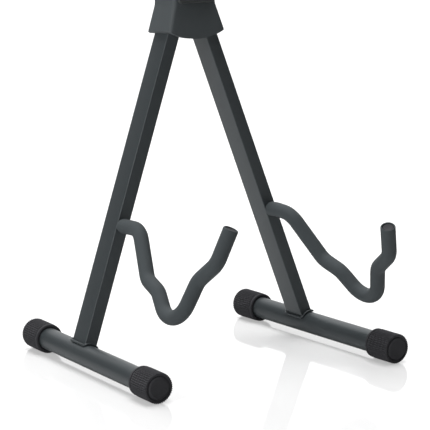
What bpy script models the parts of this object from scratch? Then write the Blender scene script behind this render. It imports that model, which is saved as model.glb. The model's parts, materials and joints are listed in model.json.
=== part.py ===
"""Folding A-frame guitar stand, modelled as separate pieces.

Metres, +Z up, front towards -Y. The origin is on the floor, under the middle of the stand's box.
"""

import math

import bmesh
import bpy
from mathutils import Matrix, Vector

NAME = "guitar_stand"
SIDES = (("left", -1), ("right", 1))

# Clearances
TOUCH = 0.0003          # between pieces that touch
PAST = 0.0100           # how far a cut runs past the piece
STOP_GAP = 0.0006       # leg to the housing wall that stops it
FOLD_GAP = 0.0010       # leg to the housing above the pivot, once folded

# Foot: a round tube with a rubber cap on each end
FOOT_LENGTH = 0.2945     # over both caps
FOOT_RADIUS = 0.0125
FOOT_WALL = 0.0015
FOOT_REAR = 0.1183      # from the rear end to the leg
TOE_OUT = math.radians(2.25)
CAP_RADIUS = 0.0170
CAP_LENGTH = 0.0380
CAP_END = 0.0050        # thickness of the closed end
CAP_DISC_RADIUS = 0.0125
CAP_DISC_HEIGHT = 0.0008
CAP_COLLAR = 0.0030     # plain ring at the open end
CAP_GROOVE = 0.0012
CAP_EDGE = 0.0008
CAP_STEPS = 36

# Leg: a flat rectangular tube
LEG_WIDTH = 0.0150
LEG_DEPTH = 0.0300
LEG_WALL = 0.0015
LEG_CORNER = 0.0008
LEG_CORNER_INSIDE = 0.0004
LEG_SPREAD = math.radians(19.78)    # inward lean, seen from the front
LEG_LEAN = math.radians(4.07)       # backward lean, seen from the side
LEG_ABOVE_PIVOT = 0.0060
LEG_TOP_GAP = 0.001208  # between the two legs' top corners, open
PIVOT_HEIGHT = 0.4050
WELD_RADIUS = 0.0018

# Pivot: a bolt through a bush, with a nylon washer on each side of the leg
BOLT_RADIUS = 0.0030
BOLT_HEAD_RADIUS = 0.0058
BOLT_HEAD_HEIGHT = 0.0028
BOLT_PAST_NUT = 0.0015
BUSH_WALL = 0.0007
THRUST_RADIUS = 0.0070
THRUST_THICK = 0.0010
STEEL_WASHER_RADIUS = 0.0062
STEEL_WASHER_THICK = 0.0010
NUT_RADIUS = 0.0058
NUT_HEIGHT = 0.0050
WASHER_SPACE = 0.0005   # thrust washer to the housing wall, which isn't quite square to the bolt

# Hinge housing, in its own frame: origin on the pivots' line, tilted back with the legs
WALL_FRONT = 0.0062     # in front of the legs, at the waist
COVER_THICK = 0.0044
COVER_SET_IN = 0.0004   # rear cover below the housing's rim
COVER_RIM = 0.0030      # housing wall around the cover
COVER_CORNER = 0.0040   # cut across its top corners
WAIST_BELOW = 0.0070    # waist below the pivots
WAIST_WALL = 0.00730    # beside the legs
SKIRT_STEEPER = 0.06213 # how much less the skirt's sides flare than the legs, for each metre down
SKIRT_FLARE_FRONT = 0.107
SKIRT_FLARE_REAR = 0.060
SKIRT_SIDE_BELOW = 0.0367   # lower edge at the sides, below the pivots
SKIRT_SAG = 0.0093          # how much lower the edge hangs in the middle
HEAD_ABOVE = 0.0460
HEAD_TAPER = 0.0012     # each side, from the waist to the head
HEAD_ROUND = 0.0060
HEAD_EDGE = 0.0018      # first step of the rounded top, in and down
HOUSING_CORNER = 0.0045
LEG_SWING_GAP = 0.000692    # over the legs' top corners as they fold
POCKET_BESIDE = 0.0045  # pocket to the middle of each top screw
POCKET_SILL = 0.0050    # between the legs' room and the pocket
POCKET_HEAD = 0.0040    # below the cover's top edge
POCKET_WALL = 0.0080
BOSS_RADIUS = 0.0026
BOSS_BELOW = 0.0200
COVER_SKIRT = 0.0067    # cover's lower edge above the skirt's at the sides
COVER_HEAD = 0.0050     # cover's top edge below the head's top
SCREW_RADIUS = 0.0012
SCREW_HEAD_RADIUS = 0.0027
SCREW_HEAD_HEIGHT = 0.0018
SCREW_DEPTH = 0.0110
SCREW_EDGE = 0.0070     # top screws in from the housing's sides
SCREW_TOP = 0.0060      # and below the cover's top edge

# Back-rest pad on the housing's front
PAD_EDGE = 0.0030       # in from the housing's sides
PAD_BELOW = 0.0060
PAD_THICK = 0.0045
PAD_CORNER = 0.0050
PAD_ROUND = 0.0014

# Cradle arm: a rod bent in one plane, in a foam sleeve. Runs forward, then drop, from the leg's face.
ARM_HEIGHT = 0.1487     # up the leg from the foot's middle line
ROD_RADIUS = 0.0040
FOAM_RADIUS = 0.00840
COLLAR_RADIUS = 0.0062
COLLAR_THICK = 0.0016
SHANK = 0.0120          # straight on the swivel axis
SHANK_BEND = 0.050      # bend radius at its end
BENDS = (               # corner forward, corner drop, bend radius
    (0.0375, 0.0020, 0.022),
    (0.0737, 0.0550, 0.016),
    (0.1000, 0.0660, 0.016),
    (0.1442, 0.1135, 0.029),
    (0.1742, 0.0488, 0.016),
    (0.2034, 0.0288, 0.018),
)
TIP = (0.2176, -0.0095)
BEND_STEP = math.radians(13)
ARM_SWIVEL = {"left": math.radians(16.5), "right": math.radians(21.4)}    # outward from hanging
ARM_DROOP = {"left": math.radians(-2.4), "right": math.radians(2.7)}      # hand bending of each rod
TIP_CAP_LENGTH = 0.0120
TIP_CAP_WALL = 0.0018
TIP_CAP_EDGE = 0.0008
TIP_SET_IN = 0.0010
ARM_WASHER_EDGE = 0.0012    # friction washer's rim past the rod's hole
ARM_WASHER_THICK = 0.0008
RETAINER_EDGE = 0.0009      # push-on retainer's rim past the rod's hole
RETAINER_THICK = 0.0010
ROD_PAST_RETAINER = 0.0002

# Sizes that follow
LEG_FRONT = LEG_DEPTH / 2
HOLE = BOLT_RADIUS + TOUCH
BUSH_RADIUS = HOLE + BUSH_WALL
WALL_Y = LEG_FRONT + TOUCH + THRUST_THICK + WASHER_SPACE
HOUSING_FRONT = WALL_Y + WALL_FRONT
COVER_OUT = WALL_Y + COVER_THICK
HOUSING_REAR = COVER_OUT + COVER_SET_IN
LEG_RUN_IN = math.cos(TOE_OUT) * math.tan(LEG_SPREAD) + math.sin(TOE_OUT) * math.tan(LEG_LEAN)
PIVOT_HALF_SPACING = (
    LEG_TOP_GAP / 2 + LEG_WIDTH / 2 * math.cos(LEG_SPREAD) + LEG_ABOVE_PIVOT * math.sin(LEG_SPREAD)
)
FOOT_STATION = PIVOT_HALF_SPACING + (PIVOT_HEIGHT - CAP_RADIUS) * LEG_RUN_IN
LEG_ROOM_HALF = PIVOT_HALF_SPACING + LEG_WIDTH / 2 * math.hypot(1.0, LEG_RUN_IN) + STOP_GAP
LEG_ROOM_ABOVE = math.hypot(LEG_ABOVE_PIVOT, LEG_WIDTH / 2) + LEG_SWING_GAP
WAIST_HALF_WIDTH = LEG_ROOM_HALF + WAIST_BELOW * LEG_RUN_IN + WAIST_WALL
SKIRT_SLOPE = LEG_RUN_IN - SKIRT_STEEPER
HEAD_HALF_WIDTH = WAIST_HALF_WIDTH - HEAD_TAPER
PAD_HALF_WIDTH = HEAD_HALF_WIDTH - PAD_EDGE
PAD_ABOVE = HEAD_ABOVE - HEAD_ROUND
COVER_BELOW = SKIRT_SIDE_BELOW - COVER_SKIRT
COVER_ABOVE = HEAD_ABOVE - COVER_HEAD
SCREW_TOP_X = HEAD_HALF_WIDTH - SCREW_EDGE
SCREW_TOP_Z = COVER_ABOVE - SCREW_TOP
POCKET_HALF_WIDTH = SCREW_TOP_X - POCKET_BESIDE
POCKET_FLOOR = LEG_ROOM_ABOVE + POCKET_SILL
HIGH = Vector((0.0, 0.0, 1.0))


# Scene and frames

def clear_scene():
    for obj in list(bpy.data.objects):
        bpy.data.objects.remove(obj, do_unlink=True)
    for group in list(bpy.data.collections):
        bpy.data.collections.remove(group)


def new_collection(name):
    group = bpy.data.collections.new(name)
    bpy.context.scene.collection.children.link(group)
    return group


def frame_from(origin, x_axis, y_axis, z_axis):
    frame = Matrix((x_axis, y_axis, z_axis)).transposed().to_4x4()
    frame.translation = origin
    return frame


def foot_frame(side):
    """Origin where the leg's middle line meets the foot's; +Y runs back along the foot."""
    back = Vector((-side * math.sin(TOE_OUT), math.cos(TOE_OUT), 0.0))
    origin = Vector((side * FOOT_STATION, 0.0, CAP_RADIUS))
    return frame_from(origin, back.cross(HIGH), back, HIGH)


def leg_frame(side):
    """Origin on the foot's middle line; +Z runs up the leg and +Y out of its rear face."""
    foot = foot_frame(side)
    back = foot.col[1].xyz
    outward = foot.col[0].xyz * side
    up = HIGH - outward * math.tan(LEG_SPREAD) + back * math.tan(LEG_LEAN)
    up.normalize()
    rear = (back - up * back.dot(up)).normalized()
    return frame_from(foot.translation, rear.cross(up), rear, up)


def pivot_frame(side):
    """The leg's frame moved up to its pivot."""
    leg = leg_frame(side)
    run = (PIVOT_HEIGHT - leg.translation.z) / leg.col[2].z
    return leg @ Matrix.Translation((0.0, 0.0, run))


def housing_frame():
    """Origin midway between the pivots; +Y is the mean of the two pivot axes."""
    ends = [pivot_frame(side) for _, side in SIDES]
    origin = (ends[0].translation + ends[1].translation) / 2
    rear = (ends[0].col[1].xyz + ends[1].col[1].xyz).normalized()
    across = Vector((1.0, 0.0, 0.0))
    return frame_from(origin, across, rear, across.cross(rear))


def arm_frame(name, side):
    """Origin on the leg's middle line; the arm runs along -Y and its drop along -Z."""
    leg = leg_frame(side)
    rear = leg.col[1].xyz
    up = (HIGH - rear * HIGH.dot(rear)).normalized()
    outward = rear.cross(up) * side
    drop = -up * math.cos(ARM_SWIVEL[name]) + outward * math.sin(ARM_SWIVEL[name])
    origin = leg @ Vector((0.0, 0.0, ARM_HEIGHT))
    return frame_from(origin, rear.cross(-drop), rear, -drop)


def material(name, colour, roughness, metallic):
    mat = bpy.data.materials.new(name)
    mat.use_nodes = True
    shader = mat.node_tree.nodes["Principled BSDF"]
    shader.inputs["Base Color"].default_value = (*colour, 1.0)
    shader.inputs["Roughness"].default_value = roughness
    shader.inputs["Metallic"].default_value = metallic
    mat.diffuse_color = (*colour, 1.0)
    return mat


class Builder:
    """Puts each piece in its collection, frame and parent."""

    def __init__(self):
        self.parts = new_collection(NAME)
        self.cutters = new_collection(NAME + "_cutters")
        self.frames = {}

    def empty(self, name, frame, parent=None):
        pivot = bpy.data.objects.new(name, None)
        pivot.empty_display_size = 0.02
        self.parts.objects.link(pivot)
        self.frames[name] = frame
        self.place(pivot, frame, parent)
        return pivot

    def place(self, obj, frame, parent):
        obj.parent = parent
        base = self.frames[parent.name].inverted() if parent else Matrix.Identity(4)
        obj.matrix_basis = base @ frame

    def piece(self, name, mesh, frame, parent, mat):
        mesh.name = name
        for polygon in mesh.polygons:
            polygon.use_smooth = True
        mesh.set_sharp_from_angle(angle=math.radians(35))
        mesh.materials.clear()
        mesh.materials.append(mat)
        obj = bpy.data.objects.new(name, mesh)
        self.parts.objects.link(obj)
        self.place(obj, frame, parent)
        return obj

    def cut(self, target, mesh, frame, parent, operation="DIFFERENCE"):
        name = f"{target.name}_cut_{len(target.modifiers)}"
        mesh.name = name
        cutter = bpy.data.objects.new(name, mesh)
        cutter.hide_render = True
        cutter.display_type = "WIRE"
        self.cutters.objects.link(cutter)
        self.place(cutter, frame, parent)
        boolean = target.modifiers.new(name, "BOOLEAN")
        boolean.operation = operation
        boolean.object = cutter


# Shapes

def evaluated_mesh(obj):
    """The object's evaluated mesh, welded, with the object removed."""
    bpy.context.scene.collection.objects.link(obj)
    bpy.context.view_layer.update()
    mesh = bpy.data.meshes.new_from_object(obj.evaluated_get(bpy.context.evaluated_depsgraph_get()))
    bpy.data.objects.remove(obj, do_unlink=True)
    shape = bmesh.new()
    shape.from_mesh(mesh)
    bmesh.ops.remove_doubles(shape, verts=shape.verts, dist=0.00001)
    bmesh.ops.recalc_face_normals(shape, faces=shape.faces)
    shape.to_mesh(mesh)
    shape.free()
    return mesh


def poly_spline(curve, points, cyclic):
    spline = curve.splines.new("POLY")
    spline.points.add(len(points) - 1)
    for place, point in zip(spline.points, points):
        place.co = (*point, 1.0)
    spline.use_cyclic_u = cyclic
    return spline


def prism(outlines, start, end):
    """Flat outlines in XZ, the second a hole in the first, extruded along Y from start to end."""
    curve = bpy.data.curves.new("outline", "CURVE")
    curve.dimensions = "2D"
    curve.fill_mode = "BOTH"
    curve.extrude = (end - start) / 2
    for outline in outlines:
        poly_spline(curve, [(x, z, 0.0) for x, z in outline], True)
    mesh = evaluated_mesh(bpy.data.objects.new("outline", curve))
    mesh.transform(Matrix.Translation((0.0, (start + end) / 2, 0.0)) @ Matrix.Rotation(math.pi / 2, 4, "X"))
    return mesh


def rounded_rectangle(half_x, half_z, radius, segments=3):
    points = []
    for corner in range(4):
        sign_x = 1 if corner in (0, 3) else -1
        sign_z = 1 if corner < 2 else -1
        for step in range(segments + 1):
            angle = math.pi / 2 * (corner + step / segments)
            points.append((
                sign_x * (half_x - radius) + radius * math.cos(angle),
                sign_z * (half_z - radius) + radius * math.sin(angle),
            ))
    return points


def finer(outline, longest):
    """The same closed outline with points added along its long sides."""
    points = []
    for here, after in zip(outline, outline[1:] + outline[:1]):
        count = max(1, math.ceil(math.dist(here, after) / longest))
        for step in range(count):
            share = step / count
            points.append(tuple(a + (b - a) * share for a, b in zip(here, after)))
    return points


def cylinder(radius, start, end, sides=24, x=0.0, z=0.0):
    """A cylinder along Y, with a flat side at the bottom."""
    shape = bmesh.new()
    bmesh.ops.create_cone(
        shape, cap_ends=True, segments=sides, radius1=radius, radius2=radius, depth=end - start
    )
    bmesh.ops.rotate(shape, verts=shape.verts, matrix=Matrix.Rotation(math.pi / sides, 3, "Z"))
    bmesh.ops.rotate(shape, verts=shape.verts, matrix=Matrix.Rotation(math.pi / 2, 3, "X"))
    bmesh.ops.translate(shape, verts=shape.verts, vec=(x, (start + end) / 2, z))
    mesh = bpy.data.meshes.new("cylinder")
    shape.to_mesh(mesh)
    shape.free()
    return mesh


def turned(profile, steps, closed):
    """A profile of (radius, y) turned about Y. It runs from +Y down the outer side to -Y."""
    points = [(radius, 0.0, along) for radius, along in profile]
    edges = [(index, index + 1) for index in range(len(points) - 1)]
    if closed:
        edges.append((len(points) - 1, 0))
    mesh = bpy.data.meshes.new("profile")
    mesh.from_pydata(points, edges, [])
    obj = bpy.data.objects.new("profile", mesh)
    screw = obj.modifiers.new("turn", "SCREW")
    screw.steps = steps
    screw.render_steps = steps
    screw.use_merge_vertices = True
    screw.merge_threshold = 0.00001
    turned_mesh = evaluated_mesh(obj)
    half_step = Matrix.Rotation(math.pi / steps, 4, "Z")
    turned_mesh.transform(Matrix.Rotation(-math.pi / 2, 4, "X") @ half_step)
    return turned_mesh


def ring(inner, outer, start, end, steps=24):
    return turned(((inner, end), (outer, end), (outer, start), (inner, start)), steps, True)


def bent_path(points, radii):
    """Points of straight runs joined by arcs; each inner corner has its bend radius."""
    path = [points[0]]
    for before, corner, after, radius in zip(points, points[1:], points[2:], radii):
        into = (corner - before).normalized()
        out = (after - corner).normalized()
        turn = into.angle(out)
        if turn < 1e-6:
            continue
        reach = radius * math.tan(turn / 2)
        centre = corner - into * reach + (out - into * out.dot(into)).normalized() * radius
        first = corner - into * reach - centre
        axis = into.cross(out).normalized()
        steps = max(1, round(turn / BEND_STEP))
        for step in range(steps + 1):
            path.append(centre + Matrix.Rotation(turn * step / steps, 3, axis) @ first)
    path.append(points[-1])
    return path


def round_wire(path, radius, resolution, cyclic=False, caps=True):
    curve = bpy.data.curves.new("wire", "CURVE")
    curve.dimensions = "3D"
    curve.twist_mode = "MINIMUM"
    curve.bevel_depth = radius
    curve.bevel_resolution = resolution
    curve.use_fill_caps = caps and not cyclic
    poly_spline(curve, path, cyclic)
    return evaluated_mesh(bpy.data.objects.new("wire", curve))


# Foot and leg

def add_foot(build, name, side, parent, mats):
    frame = foot_frame(side)
    rear = FOOT_REAR
    front = FOOT_REAR - FOOT_LENGTH
    inset = CAP_END + TOUCH
    tube = ring(FOOT_RADIUS - FOOT_WALL, FOOT_RADIUS, front + inset, rear - inset, 28)
    build.piece(f"foot_tube_{name}", tube, frame, parent, mats["paint"])
    turn_round = Matrix.Rotation(math.pi, 4, "Z")
    rear_end = frame @ Matrix.Translation((0.0, rear, 0.0))
    front_end = frame @ Matrix.Translation((0.0, front, 0.0)) @ turn_round
    build.piece(f"foot_cap_rear_{name}", cap_mesh(), rear_end, parent, mats["rubber"])
    build.piece(f"foot_cap_front_{name}", cap_mesh(), front_end, parent, mats["rubber"])


def cap_mesh():
    """A cup with its closed end at y = 0 and its mouth towards -Y. Flat sides touch the floor."""
    outer = CAP_RADIUS / math.cos(math.pi / CAP_STEPS)
    bore = FOOT_RADIUS + TOUCH
    collar = -CAP_LENGTH + CAP_COLLAR
    return turned((
        (0.0, 0.0),
        (CAP_DISC_RADIUS - CAP_DISC_HEIGHT, 0.0),
        (CAP_DISC_RADIUS, -CAP_DISC_HEIGHT),
        (outer - CAP_EDGE, -CAP_DISC_HEIGHT),
        (outer, -CAP_DISC_HEIGHT - CAP_EDGE),
        (outer, collar + CAP_GROOVE),
        (outer - CAP_GROOVE, collar + CAP_GROOVE / 2),
        (outer - CAP_GROOVE / 4, collar),
        (outer - CAP_GROOVE / 4, -CAP_LENGTH),
        (bore, -CAP_LENGTH),
        (bore, -CAP_END),
        (0.0, -CAP_END),
    ), CAP_STEPS, False)


def leg_top():
    frame = pivot_frame(1)
    return (frame.translation - leg_frame(1).translation).length


def add_leg(build, name, side, parent, mats):
    frame = leg_frame(side)
    top = leg_top() + LEG_ABOVE_PIVOT
    outer = rounded_rectangle(LEG_WIDTH / 2, LEG_DEPTH / 2, LEG_CORNER)
    inner = rounded_rectangle(
        LEG_WIDTH / 2 - LEG_WALL, LEG_DEPTH / 2 - LEG_WALL, LEG_CORNER_INSIDE, 2
    )
    tube = prism((outer, inner), 0.0, top)
    tube.transform(Matrix.Rotation(math.pi / 2, 4, "X"))
    leg = build.piece(f"leg_{name}", tube, frame, parent, mats["paint"])
    saddle = cylinder(FOOT_RADIUS + TOUCH, -LEG_DEPTH, LEG_DEPTH, 56)
    build.cut(leg, saddle, foot_frame(side), parent)
    bolt_hole = cylinder(BUSH_RADIUS + TOUCH, -LEG_DEPTH, LEG_DEPTH, 24, z=leg_top())
    build.cut(leg, bolt_hole, frame, parent)
    rod_hole = cylinder(ROD_RADIUS + TOUCH, -LEG_DEPTH, LEG_DEPTH, 24, z=ARM_HEIGHT)
    build.cut(leg, rod_hole, frame, parent)
    bead = round_wire(weld_path(side), WELD_RADIUS, 2, cyclic=True)
    build.piece(f"foot_weld_{name}", bead, foot_frame(side), parent, mats["paint"])


def weld_path(side):
    """The corner between leg and foot, followed a bead's radius away from both."""
    off = WELD_RADIUS + TOUCH
    to_foot = foot_frame(side).inverted().to_3x3() @ leg_frame(side).to_3x3()
    up = to_foot.col[2]
    reach = FOOT_RADIUS + off
    outline = rounded_rectangle(LEG_WIDTH / 2 + off, LEG_DEPTH / 2 + off, LEG_CORNER + off, 4)
    path = []
    for x, y in finer(outline, WELD_RADIUS):
        start = to_foot @ Vector((x, y, 0.0))
        a = up.x ** 2 + up.z ** 2
        b = 2 * (start.x * up.x + start.z * up.z)
        c = start.x ** 2 + start.z ** 2 - reach ** 2
        path.append(start + up * ((-b + math.sqrt(b * b - 4 * a * c)) / (2 * a)))
    return path


# Cradle arm

def arm_point(name, forward, drop):
    """A point of the arm's plane, turned by the arm's droop, in the arm's frame."""
    droop = ARM_DROOP[name]
    run = forward * math.cos(droop) - drop * math.sin(droop)
    fall = drop * math.cos(droop) + forward * math.sin(droop)
    return Vector((0.0, -LEG_FRONT - run, -fall))


def arm_path(name, start, past_tip):
    corners = [arm_point(name, forward, drop) for forward, drop, _ in BENDS]
    tip = arm_point(name, *TIP)
    end = tip + (tip - corners[-1]).normalized() * past_tip
    points = [Vector((0.0, start, 0.0)), Vector((0.0, -LEG_FRONT - SHANK, 0.0)), *corners, end]
    radii = [SHANK_BEND, *(radius for _, _, radius in BENDS)]
    return bent_path(points, radii)


def tip_frame(name, frame):
    """Origin at the sleeve's end, with +Y pointing out of it."""
    corner = arm_point(name, *BENDS[-1][:2])
    tip = arm_point(name, *TIP)
    out = (tip - corner).normalized()
    across = Vector((1.0, 0.0, 0.0))
    return frame @ frame_from(tip, across, out, across.cross(out))


def add_arm(build, name, side, parent, mats):
    frame = arm_frame(name, side)
    tip = tip_frame(name, frame)
    cap_out = -TIP_SET_IN
    cap_in = cap_out - TIP_CAP_LENGTH
    bore = ROD_RADIUS + TOUCH
    washer_in = LEG_FRONT + TOUCH
    retainer_in = washer_in + ARM_WASHER_THICK + TOUCH
    rod_rear = retainer_in + RETAINER_THICK + ROD_PAST_RETAINER
    rod_end = cap_out - TIP_CAP_WALL - TOUCH

    rod_mesh = round_wire(arm_path(name, rod_rear, rod_end), ROD_RADIUS, 2)
    rod = build.piece(f"cradle_rod_{name}", rod_mesh, frame, parent, mats["steel"])
    collar_front = -LEG_FRONT - TOUCH - COLLAR_THICK
    collar = cylinder(COLLAR_RADIUS, collar_front, -LEG_FRONT - TOUCH, 20)
    build.cut(rod, collar, frame, parent, "UNION")

    sleeve_mesh = round_wire(arm_path(name, -LEG_FRONT - TOUCH, 0.0), FOAM_RADIUS, 4, caps=False)
    sleeve = build.piece(f"cradle_foam_{name}", sleeve_mesh, frame, parent, mats["foam"])
    shell = sleeve.modifiers.new("wall", "SOLIDIFY")
    shell.thickness = FOAM_RADIUS - bore
    shell.offset = -1.0
    collar_room = cylinder(COLLAR_RADIUS + TOUCH, collar_front - TOUCH, -LEG_FRONT + TOUCH, 20)
    build.cut(sleeve, collar_room, frame, parent)
    cap_radius = bore + TIP_CAP_WALL
    cap_room = cylinder(cap_radius + TOUCH, cap_in - TOUCH, 2 * FOAM_RADIUS, 20)
    build.cut(sleeve, cap_room, tip, parent)

    cap = turned((
        (0.0, cap_out),
        (cap_radius - TIP_CAP_EDGE, cap_out),
        (cap_radius, cap_out - TIP_CAP_EDGE),
        (cap_radius, cap_in),
        (bore, cap_in),
        (bore, cap_out - TIP_CAP_WALL),
        (0.0, cap_out - TIP_CAP_WALL),
    ), 20, False)
    build.piece(f"cradle_tip_cap_{name}", cap, tip, parent, mats["rubber"])

    washer = ring(bore, bore + ARM_WASHER_EDGE, washer_in, washer_in + ARM_WASHER_THICK)
    build.piece(f"arm_washer_{name}", washer, frame, parent, mats["nylon"])
    retainer = ring(bore, bore + RETAINER_EDGE, retainer_in, retainer_in + RETAINER_THICK)
    build.piece(f"arm_retainer_{name}", retainer, frame, parent, mats["zinc"])


def add_nut(build, name, frame, parent, mat, sizes):
    radius, bore, start, end = sizes
    nut = build.piece(name, cylinder(radius, start, end, 6), frame, parent, mat)
    build.cut(nut, cylinder(bore, start - radius, end + radius, 20), frame, parent)


# Pivot hardware

def add_pivot(build, name, side, parent, mats):
    frame = pivot_frame(side)
    head_in = -HOUSING_FRONT - TOUCH
    washer_in = COVER_OUT + TOUCH + WASHER_SPACE
    nut_in = washer_in + STEEL_WASHER_THICK + TOUCH
    nut_out = nut_in + NUT_HEIGHT

    head = cylinder(BOLT_HEAD_RADIUS, head_in - BOLT_HEAD_HEIGHT, head_in, 6)
    bolt = build.piece(f"pivot_bolt_{name}", head, frame, parent, mats["zinc"])
    shaft = cylinder(BOLT_RADIUS, head_in - BOLT_HEAD_HEIGHT / 2, nut_out + BOLT_PAST_NUT, 20)
    build.cut(bolt, shaft, frame, parent, "UNION")
    washer = ring(HOLE, STEEL_WASHER_RADIUS, washer_in, washer_in + STEEL_WASHER_THICK)
    build.piece(f"nut_washer_{name}", washer, frame, parent, mats["zinc"])
    add_nut(build, f"pivot_nut_{name}", frame, parent, mats["zinc"], (NUT_RADIUS, HOLE, nut_in, nut_out))

    bush_end = WALL_Y - WASHER_SPACE
    bush = ring(HOLE, BUSH_RADIUS, -bush_end, bush_end)
    build.piece(f"pivot_bush_{name}", bush, frame, parent, mats["steel"])
    for place, start in (("front", -LEG_FRONT - TOUCH - THRUST_THICK), ("rear", LEG_FRONT + TOUCH)):
        disc = ring(BUSH_RADIUS + TOUCH, THRUST_RADIUS, start, start + THRUST_THICK)
        build.piece(f"thrust_washer_{place}_{name}", disc, frame, parent, mats["nylon"])


# Hinge housing

def housing_levels():
    """Half width, front, rear and height of each level of the outside, from the bottom up."""
    low = -SKIRT_SIDE_BELOW - SKIRT_SAG - PAST / 5
    drop = -WAIST_BELOW - low
    top = HEAD_ABOVE
    edge_rear = HOUSING_REAR - HEAD_EDGE / 3
    return (
        (WAIST_HALF_WIDTH + SKIRT_SLOPE * drop, HOUSING_FRONT + SKIRT_FLARE_FRONT * drop,
         HOUSING_REAR + SKIRT_FLARE_REAR * drop, low),
        (WAIST_HALF_WIDTH, HOUSING_FRONT, HOUSING_REAR, -WAIST_BELOW),
        (HEAD_HALF_WIDTH, HOUSING_FRONT, HOUSING_REAR, top - HEAD_ROUND),
        (HEAD_HALF_WIDTH - HEAD_EDGE, HOUSING_FRONT - HEAD_EDGE, edge_rear, top - HEAD_EDGE),
        (HEAD_HALF_WIDTH - HEAD_ROUND, HOUSING_FRONT - HEAD_ROUND, HOUSING_REAR - HEAD_ROUND / 2, top),
    )


def housing_outside():
    shape = bmesh.new()
    rings = []
    for half_width, front, rear, height in housing_levels():
        corner = HOUSING_CORNER
        outline = rounded_rectangle(half_width, (front + rear) / 2, corner, 4)
        middle = (rear - front) / 2
        rings.append([shape.verts.new((x, y + middle, height)) for x, y in outline])
    for verts in rings:
        for index, vert in enumerate(verts):
            shape.edges.new((vert, verts[(index + 1) % len(verts)]))
    loops = []
    for verts in rings:
        loops.append([shape.edges.get((verts[i - 1], verts[i])) for i in range(len(verts))])
    for lower, upper in zip(loops, loops[1:]):
        bmesh.ops.bridge_loops(shape, edges=lower + upper)
    shape.faces.new(rings[0])
    shape.faces.new(rings[-1])
    bmesh.ops.recalc_face_normals(shape, faces=shape.faces)
    mesh = bpy.data.meshes.new("housing")
    shape.to_mesh(mesh)
    shape.free()
    return mesh


def leg_room_outline():
    """The space that both legs need, from open to folded, in the housing's XZ plane."""
    home = housing_frame()
    pivot = home.inverted() @ pivot_frame(1)
    slope = -pivot.col[2].x / pivot.col[2].z
    side = LEG_WIDTH / 2 * math.hypot(1.0, slope)
    half = pivot.translation.x + max(side + STOP_GAP, LEG_WIDTH / 2 + FOLD_GAP)
    low = -SKIRT_SIDE_BELOW - SKIRT_SAG - PAST
    wide = half - low * slope
    return [(-wide, low), (wide, low), (half, 0.0), (half, LEG_ROOM_ABOVE),
            (-half, LEG_ROOM_ABOVE), (-half, 0.0)]


def under_outline():
    """Everything below the skirt's curved lower edge."""
    half = WAIST_HALF_WIDTH + SKIRT_SLOPE * (SKIRT_SIDE_BELOW - WAIST_BELOW)
    radius = (half ** 2 + SKIRT_SAG ** 2) / (2 * SKIRT_SAG)
    middle = -SKIRT_SIDE_BELOW - SKIRT_SAG + radius
    wide = half + PAST
    floor = -SKIRT_SIDE_BELOW - SKIRT_SAG - PAST
    points = [(-wide, floor), (wide, floor)]
    count = 16
    for step in range(count + 1):
        x = wide - 2 * wide * step / count
        points.append((x, middle - math.sqrt(radius ** 2 - x ** 2)))
    return points


def cover_outline(grow):
    """The rear cover's outline, larger by grow."""
    inset = COVER_RIM - grow
    low = WAIST_HALF_WIDTH + SKIRT_SLOPE * (COVER_BELOW - WAIST_BELOW) - inset
    waist = WAIST_HALF_WIDTH - inset
    head = HEAD_HALF_WIDTH - inset
    corner = COVER_CORNER
    top = COVER_ABOVE + grow
    bottom = -COVER_BELOW - grow
    right = [(low, bottom), (waist, -WAIST_BELOW), (head, top - corner), (head - corner, top)]
    return right + [(-x, z) for x, z in reversed(right)]


def screw_places():
    return ((-SCREW_TOP_X, SCREW_TOP_Z), (SCREW_TOP_X, SCREW_TOP_Z), (0.0, -BOSS_BELOW))


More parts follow.
